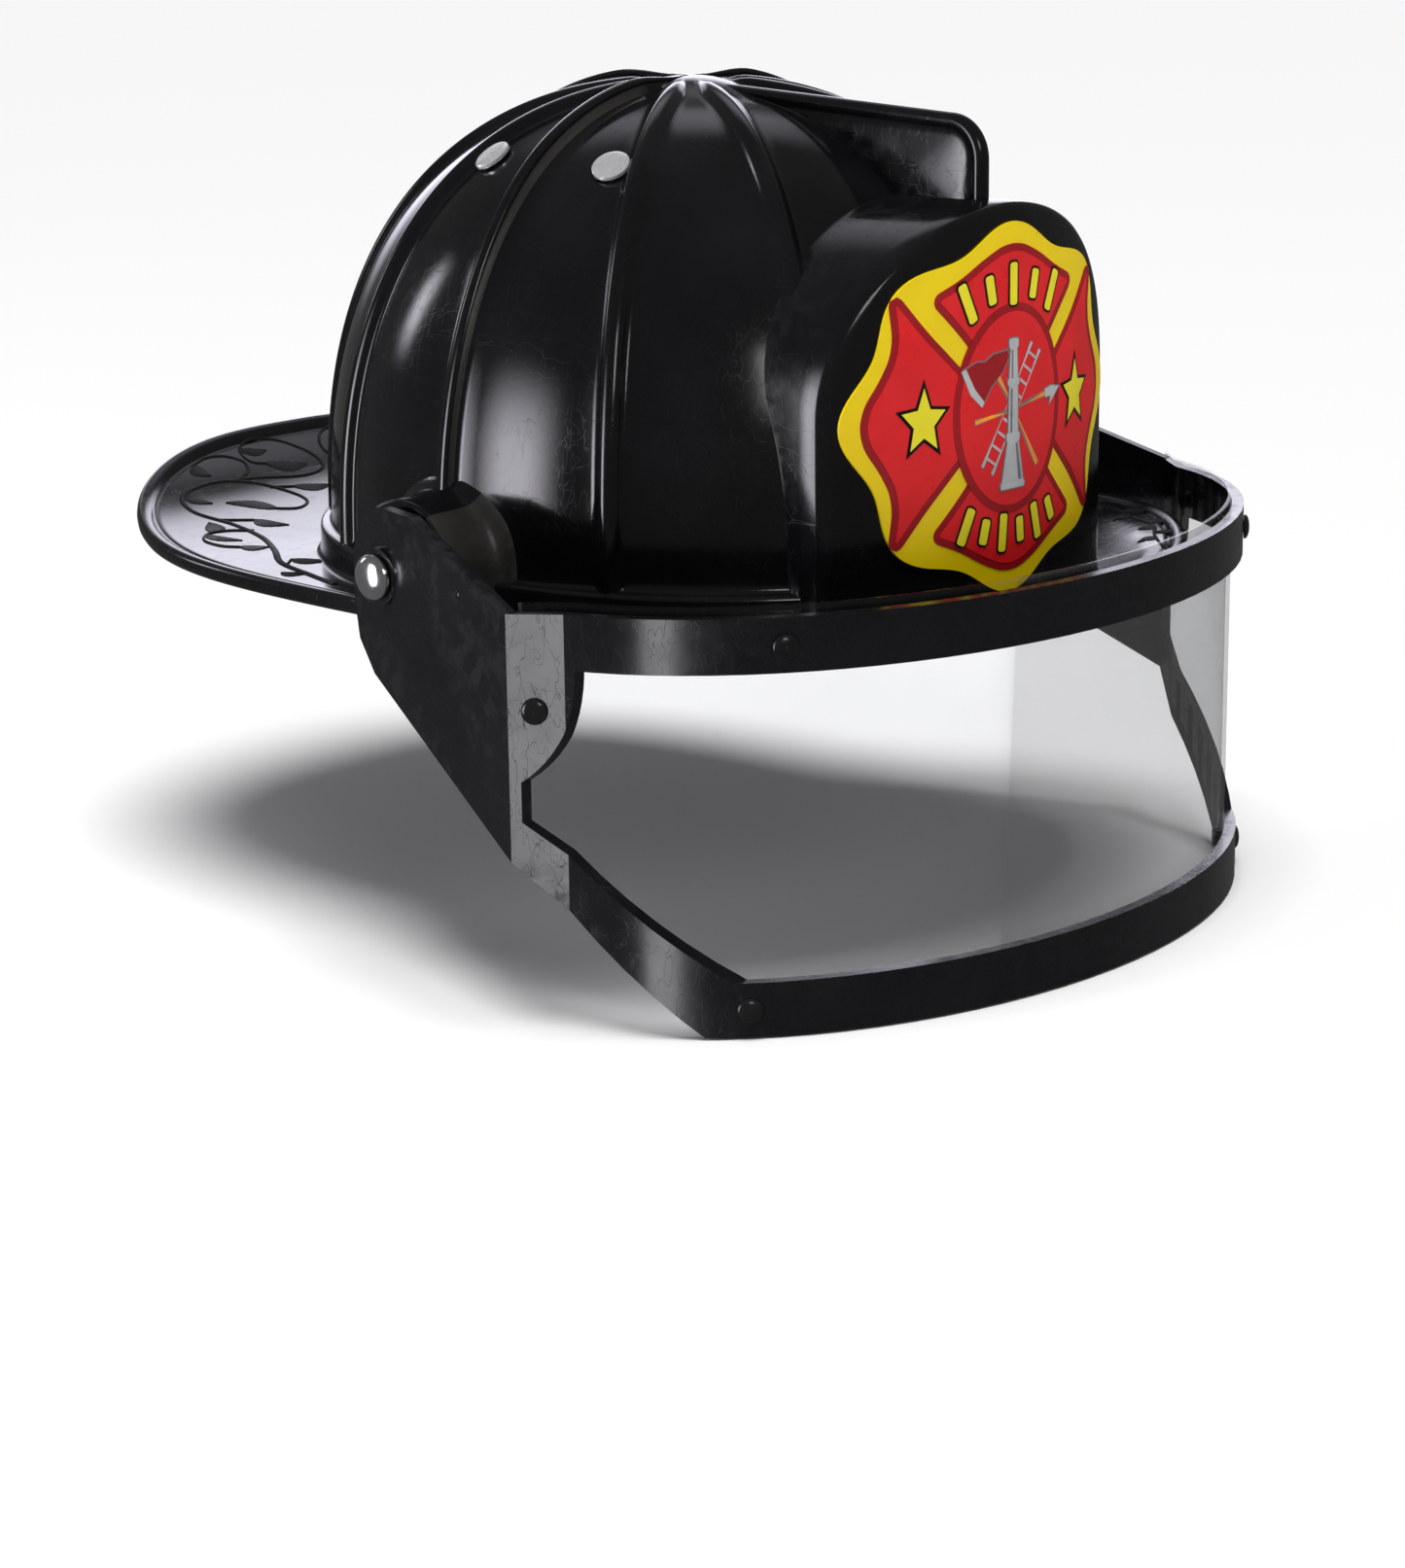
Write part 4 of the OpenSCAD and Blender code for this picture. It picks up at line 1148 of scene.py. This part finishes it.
def brow_pad():
    """Foam strip inside the headband: crowned inward, pinched at its ends, with channels."""
    rw, rl = 76.6 - 1.7, 87.6 - 1.7
    low, high, thick = -5.0, 15.0, 3.75
    half_span, steps, sides = 51.5, 96, 22
    rows = []
    for i in range(steps + 1):
        t = i / steps
        az = math.radians(-half_span + 2 * half_span * t)
        end = min(1.0, math.sin(math.pi * t) * 6) ** 0.5
        channel = 1 - 0.30 * math.exp(-(((t * 8) % 1 - 0.5) / 0.10) ** 2)
        deep = thick * (0.35 + 0.65 * end) * channel
        z0, z1 = low + 0.8 * (1 - end) + 0.1, high - 0.8 * (1 - end) - 0.1
        ring = []
        for k in range(sides):
            a = TAU * k / sides
            inward = max(0.06, (1 + signed_pow(math.cos(a), 0.55)) / 2 * deep)
            z = (z0 + z1) / 2 + signed_pow(math.sin(a), 0.45) * (z1 - z0) / 2
            ring.append((*around(az, rw - inward, rl - inward), z))
        rows.append(ring)
    verts, faces = skin(rows, ends=(FLAT, FLAT))
    o = build("brow_pad_foam", verts, faces, [FOAM], "helmet", ("brow_pad",), angle=60)


def carry_over():
    """The CAD nodes that stay visible get their own materials."""
    for name, m in (
        ("headband", BAND), ("nape_strap", BAND), ("crown_strap_upper", STRAP),
        ("crown_strap_lower", STRAP),
    ):
        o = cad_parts[name]
        if not o.material_slots:
            o.data.materials.append(m)
        for slot in o.material_slots:
            slot.material = m

# ---- build

crown()
fin()
shield()
for side, label in SIDES:
    boss(side, label)
brim()
vines()
badge()
visor_frame_piece()
lens()
lens_rivets()
plate_dimples()
hinges()
buttons()
brow_pad()
carry_over()

# ---- studio

floor_mat, floor_nodes, floor_shader = nodes_of("floor_pale")
plug(floor_nodes, floor_shader, {"Base Color": (0.94, 0.94, 0.94, 1), "Roughness": 0.9})
FLOOR_HALF, FLOOR_Z = 8, -0.0825  # metres; the floor just clears the visor's lowest edge
turns = ((-1, -1), (1, -1), (1, 1), (-1, 1))
corners = [(x * FLOOR_HALF, y * FLOOR_HALF, FLOOR_Z) for x, y in turns]
floor_mesh = bpy.data.meshes.new("floor")
floor_mesh.from_pydata(corners, [], [(0, 1, 2, 3)])
floor_mesh.materials.append(floor_mat)
floor = place_object("floor", floor_mesh)
floor.visible_glossy = False
floor.visible_shadow = False


def fade_edges(light, share):
    """Lets a light panel die away towards its rim, like a real softbox."""
    light.use_nodes = True
    nt = light.node_tree
    across = node(nt, "NewGeometry", {}).outputs["Parametric"]
    xyz = node(nt, "SeparateXYZ", {0: across})
    levels = []
    for axis in (0, 1):
        from_far = math_node(nt, "SUBTRACT", 1.0, xyz.outputs[axis])
        near = math_node(nt, "MINIMUM", xyz.outputs[axis], from_far)
        r = node(nt, "MapRange", {"From Max": share, "Value": near})
        r.interpolation_type = "SMOOTHSTEP"
        levels.append(r.outputs["Result"])
    plug(nt, nt.nodes["Emission"], {"Strength": math_node(nt, "MULTIPLY", *levels)})


def area(name, place, target, size, power, colour=(1, 1, 1), fade=0.0):
    """A light panel out of the camera's sight, turned to a target."""
    light = bpy.data.lights.new(name, "AREA")
    if fade:
        fade_edges(light, fade)
    light.shape = "RECTANGLE"
    light.size, light.size_y = size
    light.energy = power
    light.color = colour
    o = place_object(name, light)
    o.location = place
    o.rotation_mode = "QUATERNION"
    o.rotation_quaternion = (Vector(target) - Vector(place)).to_track_quat("-Z", "Y")
    o.visible_camera = False
    return o


# Even daylight for the floor; it leaves no highlight on the plastic
sun_data = bpy.data.lights.new("daylight", "SUN")
sun_data.energy = 3.05
sun_data.angle = math.radians(35)
sun = place_object("daylight", sun_data)
sun.rotation_euler = (math.radians(8), math.radians(-6), 0)
sun.visible_glossy = False
# Left softbox: its picture is the pale patch on the crown between the side ribs
COOL = (0.93, 0.91, 1.0)
area("softbox_left", (-0.73, 0.27, 0.0), (0, 0, 0.0), (0.40, 0.70), 8.5, COOL, 0.42)
# Low strip ahead of the right corner: greys the visor's corner facet and lights nothing else
strip_place, strip_target = (-0.80, -0.44, -0.23), (-0.1, -0.06, 0)
strip = area("strip_low", strip_place, strip_target, (0.17, 0.40), 1.3, (0.97, 0.96, 1.0))
lit = bpy.data.collections.new("lit_by_strip")
lit.objects.link(bpy.data.objects["visor_frame_body"])
strip.light_linking.receiver_collection = lit
# Wide panels behind: light the tail of the brim at a low angle
off_floor = bpy.data.collections.new("all_but_floor")
off_floor.objects.link(floor)
off_floor.collection_objects[0].light_linking.link_state = "EXCLUDE"
for name, place, size, power, fade in (
    ("panel_back", (0.95, 0.95, 0.36), (1.6, 0.8), 11, 0.3),
    ("panel_high", (0.80, 0.85, 1.25), (1.6, 0.9), 3.4, 0.4),
):
    o = area(name, place, (0, 0.05, 0), size, power, (0.88, 0.87, 1.0), fade)
    o.light_linking.receiver_collection = off_floor
area("panel_back_left", (-0.40, 1.15, 0.42), (0, 0, 0.03), (0.20, 0.5), 2.2, COOL, 0.45)
area("front_fill", (-0.9, -1.5, 0.9), (0, 0, 0), (0.5, 0.5), 4)

world = bpy.data.worlds.new("studio")
world.use_nodes = True
nt = world.node_tree
# A pale backdrop to look at, but dim surroundings, so that the plastic stays black
seen = node(nt, "LightPath", {}).outputs["Is Camera Ray"]
level = ramp(nt, seen, 0.10, 0.93, (0.0, 1.0))
plug(nt, nt.nodes["Background"], {"Color": (1, 1, 1, 1), "Strength": level})
bpy.context.scene.world = world

# ---- camera

CAM_AZ, CAM_EL, CAM_ROLL = (math.radians(d) for d in (-46.9885, 15.2285, -0.7253))
CAM_FAR = 932.4
CAM_TARGET = Vector((-2.729, -3.605, -60.0))
flat_part = math.cos(CAM_EL)
back = Vector((math.sin(CAM_AZ) * flat_part, -math.cos(CAM_AZ) * flat_part, math.sin(CAM_EL)))
right = (-back).cross(Vector((0, 0, 1))).normalized()
up = right.cross(-back)
cam_right = right * math.cos(CAM_ROLL) + up * math.sin(CAM_ROLL)
cam_up = -right * math.sin(CAM_ROLL) + up * math.cos(CAM_ROLL)
cam_data = bpy.data.cameras.new("camera")
cam_data.sensor_width = 36
cam_data.lens = 87.29
cam_data.clip_start, cam_data.clip_end = 0.05, 50
cam = place_object("camera", cam_data)
turn = Matrix((cam_right, cam_up, back)).transposed().to_4x4()
turn.translation = (CAM_TARGET + back * CAM_FAR) * MM
cam.matrix_world = turn
bpy.context.scene.camera = cam
bpy.context.scene.view_settings.view_transform = "Standard"
